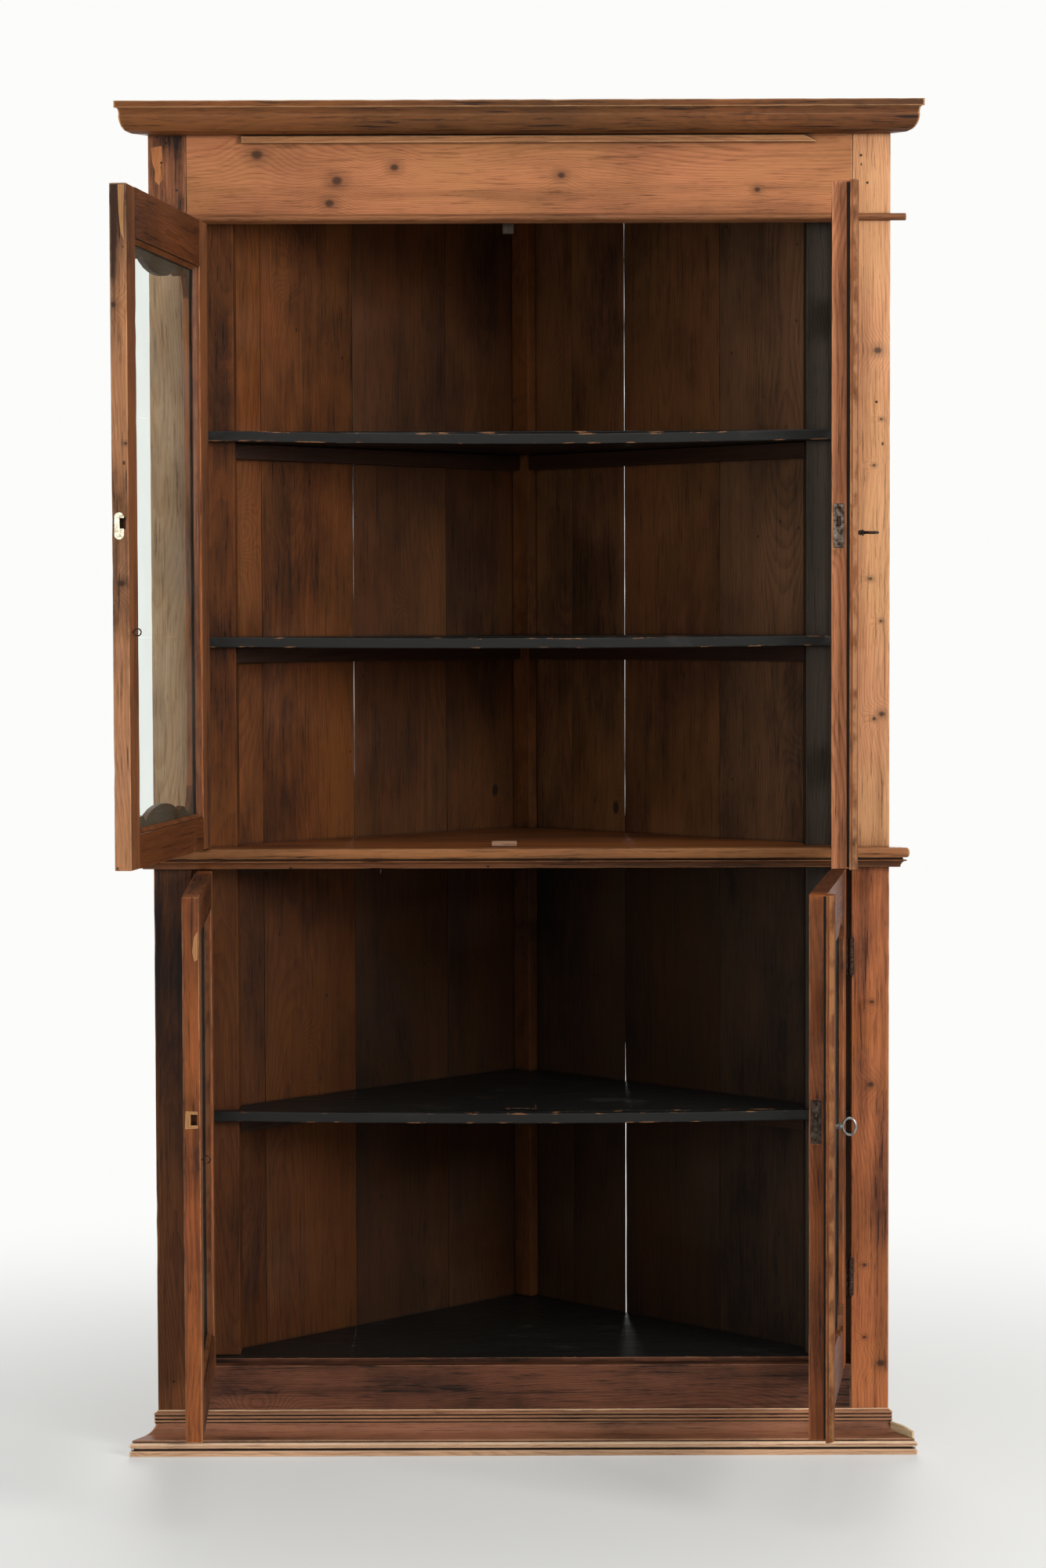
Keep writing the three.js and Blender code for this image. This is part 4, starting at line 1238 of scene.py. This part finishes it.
    def waist_cleats(self) -> None:
        """Set two cleats like the lower shelf's under the waist board."""
        under = self.waist - self.waist_board - self.gap
        for tag, grain in ALONG_WALLS.items():
            cleat = self.shop.from_node(f"lower_shelf_cleat_{tag}", self.place)
            top = max(v.co.z for v in cleat.verts)
            cleat = aged(moved(cleat, at(0, 0, under) @ Matrix.Translation((0, 0, -top))), LIGHT_WEAR, Way.X, 11.0)
            self.piece(f"waist_cleat_{tag}", cleat, SHADED_CLEAT, "pine_inside", grain)

    def small_trim(self) -> None:
        """Make the bare patch on the left stile, the shelf's hook and the nails."""
        bare = [(-622, 2223), (-604, 2226), (-603, 2206), (-606, 2190), (-603, 2170), (-609, 2160), (-616, 2168),
                (-615, 2184), (-620, 2199)]
        self.piece("left_stile_bare_patch", lined(bare, -0.25, 1.0, Way.Y), BARE, "pine_outside", Grain.UPRIGHT)
        self.hook()
        stub = moved(turned([(0, -9), (1.4, -8.6), (1.4, 0), (0, 0)], 8), at(-240, -9, self.waist - 34.2))
        self.piece("waist_nail", stub, IRON, "iron", Grain.UPRIGHT)
        # Hand-made nails in the front, their heads just below the face
        head = [(0, -0.4), (2.1, -0.4), (2.4, 0.2), (1.2, 0.6), (0, 0.7)]
        for x, z in ((-596, 2231), (-605, 2198), (-579, 2152), (577, 2207), (588, 2161), (604, 1792), (-600, 120)):
            nail = moved(moved(turned(head, 9), turn(90, "X")), at(x, 0.2, z))
            self.piece(f"front_nail_{x}_{z}".replace("-", "m"), nail, IRON, "iron", Grain.UPRIGHT)

    def hook(self) -> None:
        """Lay the wire hook, with its screw eye, on the front edge of the lower shelf."""
        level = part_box("lower_shelf")[1].z / MM + 1.6
        y = self.front + 14
        bend = [Vector((x, y + w, level)) for x, w in arc((-24, 0), (6, 4.5), 60, 290, 10)]
        arm = [*reversed(bend), Vector((-6, y + 3, level)), Vector((14, y - 1, level))]
        loop = [Vector((x, y + w - 1, level)) for x, w in arc((20, 0), (5, 5), 180, -170, 16)]
        eye = [Vector((23, y + w - 3, level + z)) for w, z in arc((0, 3), (4, 4), -90, 250, 16)]
        self.piece("shelf_hook", together(wire(arm + loop, 1.4, 8), wire(eye, 1.3, 8)), IRON, "iron", Grain.UPRIGHT)


@dataclass
class Door:
    """A glazed door, drawn closed from its hinge pin."""

    shop: Workshop
    name: str
    stile: float = 65.0
    rebate: float = 8.0
    rebate_face: float = 10.0
    joint: float = 3.0
    glass: float = 3.0
    thick: float = 27.0
    gap: float = 0.3
    hinge_from_end: float = 150.0

    def __post_init__(self) -> None:
        """Read the door's hinge, its angle and its size from the frame."""
        swing = next(j for j in frame["joints"] if j["name"] == f"{self.name}_swing")
        side = round(swing["axis"][2])
        self.direction = -side
        pin = Vector(swing["pos_m"])
        angle = -side * math.radians(swing["range_deg"][0])
        self.place = Matrix.Translation((pin.x, pin.y, 0)) @ Matrix.Rotation(angle, 4, "Z")
        self.proud = (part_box("base_rail")[0].y - pin.y) / MM
        self.back = self.proud + self.thick
        self.pane_face = self.proud + self.rebate_face + self.gap
        self.pane_edge = self.stile - self.rebate + self.gap
        self.bottom, self.top = self.span(self.corners("hinge_stile"), 2)
        body = [p for p in self.corners("lock_stile") if p.y / MM > self.proud + 1]
        self.leaf = max(p.x / MM * self.direction - self.joint / 2 for p in body)
        self.upper = self.name.startswith("upper")
        self.locked = f"{self.name}_lock" in frame["nodes"]
        self.stile_finish = PALE_DOOR if self.name == "upper_left_door" else DOOR
        self.notched = self.name == "upper_right_door"
        self.edge_finish = WARM_EDGE if self.notched else self.stile_finish
        self.lip_finish = PALE_LIP if self.notched else LIP

    def corners(self, part: str) -> list[Vector]:
        """Give the corners of one of the door's nodes in the door's own axes."""
        return [self.place.inverted() @ v.co for v in frame["nodes"][f"{self.name}_{part}"].data.vertices]

    @staticmethod
    def span(points: Sequence[Vector], axis: int) -> tuple[float, float]:
        """Give the least and the greatest place of points along an axis."""
        places = [p[axis] for p in points]
        return min(places) / MM, max(places) / MM

    def x(self, along: float) -> float:
        """Give the place across the door of a distance from its hinge edge."""
        return self.direction * (self.joint / 2 + along)

    def piece(self, name: str, solid: Solid, finish: Finish, slot: str, **more: object) -> None:
        """Make a solid drawn in the door's axes into a piece that swings with it."""
        self.shop.piece(f"{self.name}_{name}", solid, finish, slot, self.name, self.place, **more)

    def build(self) -> None:
        """Make the door."""
        self.hinge_stile()
        self.rails()
        self.lock_stile()
        self.edge_patches()
        self.panes()
        self.beads()
        self.hinges()
        if self.locked:
            self.lock()
            self.key()
        else:
            self.ring_eye()
        if self.name == "upper_left_door":
            self.strike()

    def hinge_stile(self) -> None:
        """Make the stile that carries the hinges, rebated for the glass."""
        step = self.proud + self.rebate_face
        outline = [
            (self.x(0), self.proud), (self.x(self.stile), self.proud), (self.x(self.stile), step),
            (self.x(self.stile - self.rebate), step), (self.x(self.stile - self.rebate), self.back),
            (self.x(0), self.back),
        ]
        solid = aged(lined(outline, self.bottom, self.top), HANDLED, Way.Z, 30 * self.shop.seed(self.name))
        self.piece("hinge_stile_worn", solid, DOOR, "pine_door", replaces=[f"{self.name}_hinge_stile"],
                   others=[(INNER_DOOR, lambda face: face.normal.y > 0.85)])

    def rails(self) -> None:
        """Make the rails, with the scrolls that show behind the glass."""
        scroll_line = (self.proud + self.rebate_face + 1) * MM
        for part in ("top_rail", "bottom_rail"):
            node = f"{self.name}_{part}"
            solid = aged(self.shop.from_node(node, self.place), Wear(1.0, 24, 0.25, 0.8), Way.X,
                         30 * self.shop.seed(node))
            self.piece(f"{part}_worn", solid, DARK_DOOR, "pine_door", grain=Grain.SIDEWAYS, replaces=[node],
                       others=[(SCROLL, lambda face: face.normal.y > 0.85 and face.center.y < scroll_line)])

    def lock_stile(self) -> None:
        """Make the stile that carries the lock, with its cover lip."""
        node = f"{self.name}_lock_stile"
        notch = (1556.0, 1562.0, 1576.0, 1590.0, 1598.0) if self.notched else ()
        solid = aged(self.shop.from_node(node, self.place), HANDLED, Way.Z, 30 * self.shop.seed(node), notch)
        if notch:
            self.split_off(solid, notch)
        # Drawn in the frame's axes, because the box round a turned piece would be wider than the piece
        inward, closed = self.place.to_3x3() @ Vector((0, 1, 0)), self.place.inverted()
        outward = self.place.to_3x3() @ Vector((self.direction, 0, 0))
        lip_line = (self.leaf + self.joint / 2 + 1) * MM
        self.shop.piece(
            f"{node}_worn", moved(solid, self.place), self.stile_finish, "pine_door", self.name, replaces=[node],
            others=[
                (INNER_DOOR, lambda face: face.normal.dot(inward) > 0.85),
                (self.edge_finish, lambda face: face.normal.dot(outward) > 0.6),
                (self.lip_finish, lambda face: (closed @ face.center).x * self.direction > lip_line),
            ],
        )

    def split_off(self, lip: Solid, levels: Sequence[float]) -> None:
        """Break a shallow notch out of a cover lip's free edge.

        Args:
            lip: The lip.
            levels: Where the notch starts, its places of change and where it ends.
        """
        deepest, free_edge = 4.5, 12
        for vert in lip.verts:
            out = vert.co.x / MM * self.direction - self.joint / 2 - self.leaf
            level = vert.co.z / MM
            if out > free_edge and levels[0] < level < levels[-1]:
                vert.co.x -= self.direction * deepest * (0.7 + 0.3 * math.sin(level)) * MM

    def edge_patches(self) -> None:
        """Lay the bare patches on the left doors' lock edges, and beside the other doors' cover lips a dark line, which
        on a locked door is painted shadow of the lip, from outlines in y and z.
        """
        back, near, low, high = self.back, self.proud, self.bottom + 3, self.top - 3
        outlines = {
            "upper_left_door": {
                "bare_edge": [(back - 3, 2091), (back - 13, 2091), (back - 12, 2050), (back - 9, 2018),
                              (back - 4, 2006), (back - 5, 2040)],
            },
            "lower_left_door": {
                "bare_chip": [(back - 3, 946), (back - 8, 938), (back - 11, 915), (back - 8, 900), (back - 3, 903)],
                "bare_recess": [(11, 640), (back - 4, 641), (back - 4, 645.5), (19.6, 645.5), (19.6, 662.5),
                                (back - 4, 662.5), (back - 5, 667), (12, 668)],
            },
        }.get(self.name, {"lip_shadow_line": [(near, low), (near + 3.5, low), (near + 4.5, high), (near, high)]})
        depths = sorted((self.x(self.leaf - 1.5), self.x(self.leaf + 0.25)))
        for name, outline in outlines.items():
            # On a locked door these pieces are dark painted shadow, and on the others raw pine
            self.piece(name, lined(outline, *depths, Way.X), SHADE_PINE if self.locked else RAW, "pine_door")

    def panes(self) -> None:
        """Glaze the door: the upper left one has three panes, butted one above another."""
        node = f"{self.name}_glass"
        low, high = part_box(node)
        levels = [low.z / MM, high.z / MM]
        if self.name == "upper_left_door":
            levels[1:1] = [1399.0, 1745.0]
        for i, (first, last) in enumerate(zip(levels, levels[1:])):
            pane = box(self.x(self.pane_edge), self.x(self.leaf - self.pane_edge), self.pane_face,
                       self.pane_face + self.glass, first + (self.gap if i else 0),
                       last - (self.gap if i + 2 < len(levels) else 0))
            bmesh.ops.bevel(pane, geom=pane.edges[:], offset=0.25 * MM, segments=1, affect="EDGES")
            self.piece(f"pane_{i + 1}", pane, GLASS, "window_glass", replaces=[] if i else [node])

    def beads(self) -> None:
        """Run glazing beads round the inside of the glass."""
        low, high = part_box(f"{self.name}_glass")
        inset = self.pane_edge
        face = self.proud + self.rebate_face + self.glass + 2 * self.gap
        width, depth, wear = 6.5, 9.0, Wear(0.5, 40, 0.2, 0.5)
        for tag, along, sense in (("hinge", inset, 1), ("lock", self.leaf - inset, -1)):
            edge, inner = self.x(along), self.x(along + sense * width)
            outline = [(edge, face), (inner, face), (inner, face + 2), (edge, face + depth)]
            solid = aged(lined(outline, low.z / MM, high.z / MM), wear, Way.Z, 8.0)
            self.piece(f"bead_{tag}", solid, DARK_DOOR, "pine_door")
        ends = sorted((self.x(inset + width), self.x(self.leaf - inset - width)))
        for tag, level, sense in (("bottom", low.z / MM, 1), ("top", high.z / MM, -1)):
            inner = level + sense * width
            outline = [(face, level), (face + depth, level), (face + 2, inner), (face, inner)]
            solid = aged(lined(outline, *ends, Way.X), wear, Way.X, 8.0)
            self.piece(f"bead_{tag}", solid, DARK_DOOR, "pine_door", grain=Grain.SIDEWAYS)

    def ring_eye(self) -> None:
        """Screw a small ring eye into the back of the lock stile."""
        level = 1408.0 if self.upper else 590.0
        radius, gauge, sink, stand = 5.5, 1.1, 4.0, 3
        along, middle = self.x(self.leaf - 16), self.back + stand + radius
        ring = arc((0, 0), (radius, radius), 0, 350, 22)
        loop = [Vector((along, middle + y, level + z)) for y, z in ring]
        shank = [Vector((along, self.back - sink, level)), Vector((along, self.back + stand, level))]
        self.piece("ring_eye", together(wire(loop, gauge, 8, closed=True), wire(shank, gauge, 8)), IRON, "iron")

    def screw(self, name: str, head: Solid, y: float, level: float, finish: Finish) -> None:
        """Drive a screw into the lock edge.

        Args:
            name: Its name.
            head: Its head, turned about the z axis.
            y: Its place between the front and the back of the door.
            level: Its level.
            finish: Its finish.
        """
        place = at(self.x(self.leaf), y, level) @ turn(90 * self.direction, "Y")
        self.piece(name, moved(head, place), finish, "iron")

    def strike(self) -> None:
        """Make the round-ended strike plate on the lock edge, open where the bolt goes in, with its two screws."""
        left, right, low, high, radius = 12.0, 27.0, 1557.5, 1584.5, 7.5
        middle = (left + right) / 2
        notch, hole = 20.2, (1567.0, 1583.0)
        outline = [
            *arc((middle, low), (radius, radius), 180, 360, 12), (right, hole[0]), (notch, hole[0]),
            (notch, hole[1]), (right, hole[1]), *arc((middle, high), (radius, radius), 0, 180, 12),
        ]
        plate = lined(outline, self.x(self.leaf - 1.2), self.x(self.leaf + 0.4), Way.X)
        rim = [e for e in plate.edges if e.calc_face_angle() > 1.2]
        bmesh.ops.bevel(plate, geom=rim, offset=0.3 * MM, segments=1, affect="EDGES")
        self.piece("strike_plate", plate, NICKEL, "iron")
        head = [(0, -0.6), (3.0, -0.6), (2.9, 0.4), (1.5, 0.75), (0, 0.8)]
        for i, level in enumerate((low - 1, high + 1), 1):
            self.screw(f"strike_screw_{i}", turned(head, 16), middle, level, NICKEL)

    def hinges(self) -> None:
        """Make both halves of the two hinges: leaves, knuckles, pin and finials."""
        half, inner, radius, bore, play = 31.0, 10.0, 5.0, 2.6, 0.18
        outer, clear, depth = inner + self.gap, radius + self.gap, 22.0 + self.proud
        end = [(2.3, outer), (radius, outer), (radius, half), (3.2, half), (2.2, half + 0.8), (2.9, half + 2.8),
               (1.6, half + 4.6), (0, half + 5)]
        stem = [(r, -height) for r, height in reversed(end)] + end
        ring = [(bore, -inner), (radius, -inner), (radius, inner), (bore, inner)]
        for tag, level in (("bottom", self.bottom + self.hinge_from_end), ("top", self.top - self.hinge_from_end)):
            node = f"{self.name}_hinge_{tag}"
            near, far = -self.direction * play, -self.direction * (self.joint / 2 - self.gap)
            frame_half = together(
                turned(stem), box(near, far, clear, depth, -half, half),
                *(box(near, far, 0.5, clear + 1, *ends) for ends in ((-half, -outer), (outer, half))),
            )
            place = Matrix.Translation(self.place.translation) @ at(0, 0, level)
            self.shop.piece(f"{node}_frame_half", frame_half, IRON, "iron", place=place, replaces=[node])
            near, far = self.direction * play, self.direction * self.joint / 2
            door_half = together(turned(ring), box(near, far, clear, depth, -half, half),
                                 box(near, far, 3.6, clear + 1, -inner, inner))
            self.piece(f"hinge_{tag}_door_half", moved(door_half, at(0, 0, level)), IRON, "iron")

    def lock(self) -> None:
        """Make the lock's body, the bolt and the face plate round it with its screws."""
        node, bolt_node = f"{self.name}_lock", f"{self.name}_bolt"
        low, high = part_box(node)
        z0, z1 = low.z / MM, high.z / MM
        y0, y1 = self.span(self.corners("lock"), 1)
        solid = aged(self.shop.from_node(node, self.place), Wear(0.5, 12, 0.1, 0.5), Way.Z, 7.0)
        self.piece("lock_case", solid, PLATE, "iron", replaces=[node])
        bolt = aged(self.shop.from_node(bolt_node, self.place), Wear(0.6, 8, 0.05, 0.2), Way.X, 7.0)
        self.shop.piece(f"{bolt_node}_filed", bolt, IRON, "iron", bolt_node, self.place, replaces=[bolt_node])
        (b0, b1), (c0, c1) = (self.span(self.corners("bolt"), axis) for axis in (1, 2))
        near, far, rim, slack = self.x(self.leaf - 0.4), self.x(self.leaf + 0.5), 2.2, 0.4
        sides = (
            (y0 - rim, b0 - slack, z0, z1), (b1 + slack, y1 + rim, z0, z1),
            (b0 - slack, b1 + slack, z0, c0 - slack), (b0 - slack, b1 + slack, c1 + slack, z1),
        )
        plate = together(*(box(near, far, *edges) for edges in sides))
        self.piece("lock_plate", plate, PLATE if self.upper else DARK_PLATE, "iron")
        head = [(0, 0.2), (2.8, 0.2), (2.8, 0.6), (1.2, 0.7), (0, 0.7)]
        for i, level in enumerate((z0 + 6, z1 - 6), 1):
            self.screw(f"lock_screw_{i}", turned(head, 14), (y0 + y1) / 2, level, IRON)

    def key(self) -> None:
        """Make the key: bow, collars and shank."""
        node = f"{self.name}_key"
        joint = next(j for j in frame["joints"] if j["name"] == f"{node}_turn")
        face = self.place.inverted() @ Vector(joint["pos_m"])
        place = self.place @ Matrix.Translation(face) @ turn(90 if self.upper else 0, "Y")
        reach, inner, sides = 24.0, 16.0, 40
        stem = [
            (0, -inner), (3.0, -inner), (3.1, 4), (3.1, reach - 8), (4.2, reach - 7.4), (4.2, reach - 6.4),
            (3.3, reach - 5.8), (3.3, reach - 5), (5.0, reach - 4), (5.0, reach - 2.4), (3.6, reach - 1.6),
            (2.6, reach - 0.4), (2.6, reach + 0.8), (0, reach + 0.9),
        ]
        shank = moved(turned(stem, 28), turn(90, "X"))
        angles = [2 * math.pi * i / sides for i in range(sides)]
        loop = [Vector((0, -reach - 10 + 10 * math.cos(a), 13 * math.sin(a))) for a in angles]
        solid = together(shank, wire(loop, 2.1, 12, closed=True))
        self.shop.piece(f"{node}_turned", solid, IRON if self.upper else STEEL, "key_steel", node, place,
                        replaces=[node])


@dataclass
class Studio:
    """Plain pale floor, white surroundings, soft lamps and the camera at the photograph's viewing angle."""

    photo_width: int = 1334
    photo_height: int = 2000
    focal_pixels: float = 4400.0
    camera_place: tuple[float, float, float] = (0.003, -5.8835, 1.4276)
    pitch: float = 2.75
    roll: float = -0.18
    floor_colour: str = "E8E8E5"
    floor_reach: float = 40.0
    floor_level: float = -0.0005
    floor_near: float = 0.4
    floor_far: float = 2.6
    floor_white: float = 0.3
    white: str = "FCFCFA"
    soft_light: float = 0.11

    def build(self) -> None:
        """Make the studio."""
        self.camera()
        self.floor()
        self.world()
        self.lamp("window", (4.0, -3.9, 2.6), (0.0, 0.0, 1.25), 2.0, 228.0, "FFFFFF")
        self.lamp("fill", (-3.2, -4.8, 2.2), (0.0, 0.0, 1.2), 2.6, 50.0, "FFFDF8")
        self.lamp("top", (0.2, -2.0, 4.4), (0.0, 0.0, 1.2), 2.2, 40.0, "FFFFFF")
        self.lamp("rear", (0.0, 5.6, 2.8), (0.0, 0.0, 1.1), 3.0, 110.0, "FFFFFF")
        bpy.context.scene.view_settings.view_transform = "Standard"

    def camera(self) -> None:
        """Set up the camera."""
        data = bpy.data.cameras.new("camera")
        data.sensor_width = 36.0
        data.lens = self.focal_pixels * data.sensor_width / max(self.photo_width, self.photo_height)
        camera = new_object("camera", data)
        turned_to = turn(90 - self.pitch, "X") @ turn(self.roll, "Z")
        camera.matrix_world = Matrix.Translation(self.camera_place) @ turned_to
        bpy.context.scene.camera = camera

    @staticmethod
    def seen(add: AddNode) -> Socket:
        """Mark what the camera sees, straight, through glass or in a mirror."""
        path = add("LightPath", out="Is Camera Ray")
        seen = path
        for ray in ("Is Glossy Ray", "Is Transmission Ray"):
            seen = add("Math", [seen, path.node.outputs[ray]], operation="MAXIMUM")
        return seen

    def floor(self) -> None:
        """Lay the floor, which runs out into the white surroundings away from the object."""
        mesh = bpy.data.meshes.new("floor")
        reach = self.floor_reach
        mesh.from_pydata([(-reach, -reach, 0), (reach, -reach, 0), (reach, reach, 0), (-reach, reach, 0)], [],
                         [(0, 1, 2, 3)])
        floor = new_object("floor", mesh)
        floor.location.z = self.floor_level
        material = bpy.data.materials.new("pale studio floor")
        add = empty_tree(material)
        shader = add("BsdfPrincipled", {"Base Color": self.floor_colour, "Roughness": 0.6})
        away = add("VectorMath", [add("NewGeometry", out="Position")], "Value", operation="LENGTH")
        fade = add("MapRange", [away, self.floor_near, self.floor_far, self.floor_white], **SMOOTH)
        fade = add("Math", [fade, self.seen(add)], operation="MULTIPLY")
        add("OutputMaterial", [add("MixShader", [fade, shader, add("Emission", [self.white, 1.0])])])
        mesh.materials.append(material)

    def world(self) -> None:
        """Surround the object with soft light that shows white."""
        world = bpy.data.worlds.new("studio")
        bpy.context.scene.world = world
        add = empty_tree(world)
        soft, white = add("Background", ["FFFFFF", self.soft_light]), add("Background", [self.white, 1.0])
        add("OutputWorld", [add("MixShader", [self.seen(add), soft, white])])

    def lamp(self, name: str, place: tuple[float, float, float], target: tuple[float, float, float], size: float,
             power: float, colour: str) -> None:
        """Hang a soft lamp.

        Args:
            name: Its name.
            place: Where it hangs, in metres.
            target: What it points at.
            size: Its side, in metres.
            power: Its power in watts.
            colour: Its colour.
        """
        data = bpy.data.lights.new(name, "AREA")
        data.size = size
        data.energy = power
        data.color = linear(colour)[:3]
        lamp = new_object(name, data)
        lamp.location = place
        lamp.visible_camera = lamp.visible_transmission = False
        lamp.rotation_euler = (Vector(target) - Vector(place)).to_track_quat("-Z", "Y").to_euler()


def main() -> None:
    """Build the studio, the case and the doors."""
    logging.basicConfig(level=logging.INFO, format="%(message)s")
    shop = Workshop()
    Studio().build()
    Case(shop).build()
    for name in ("upper_left_door", "upper_right_door", "lower_left_door", "lower_right_door"):
        Door(shop, name).build()
    for name in shop.made:
        LOG.info("made %s", name)


if __name__ == "__main__":
    main()
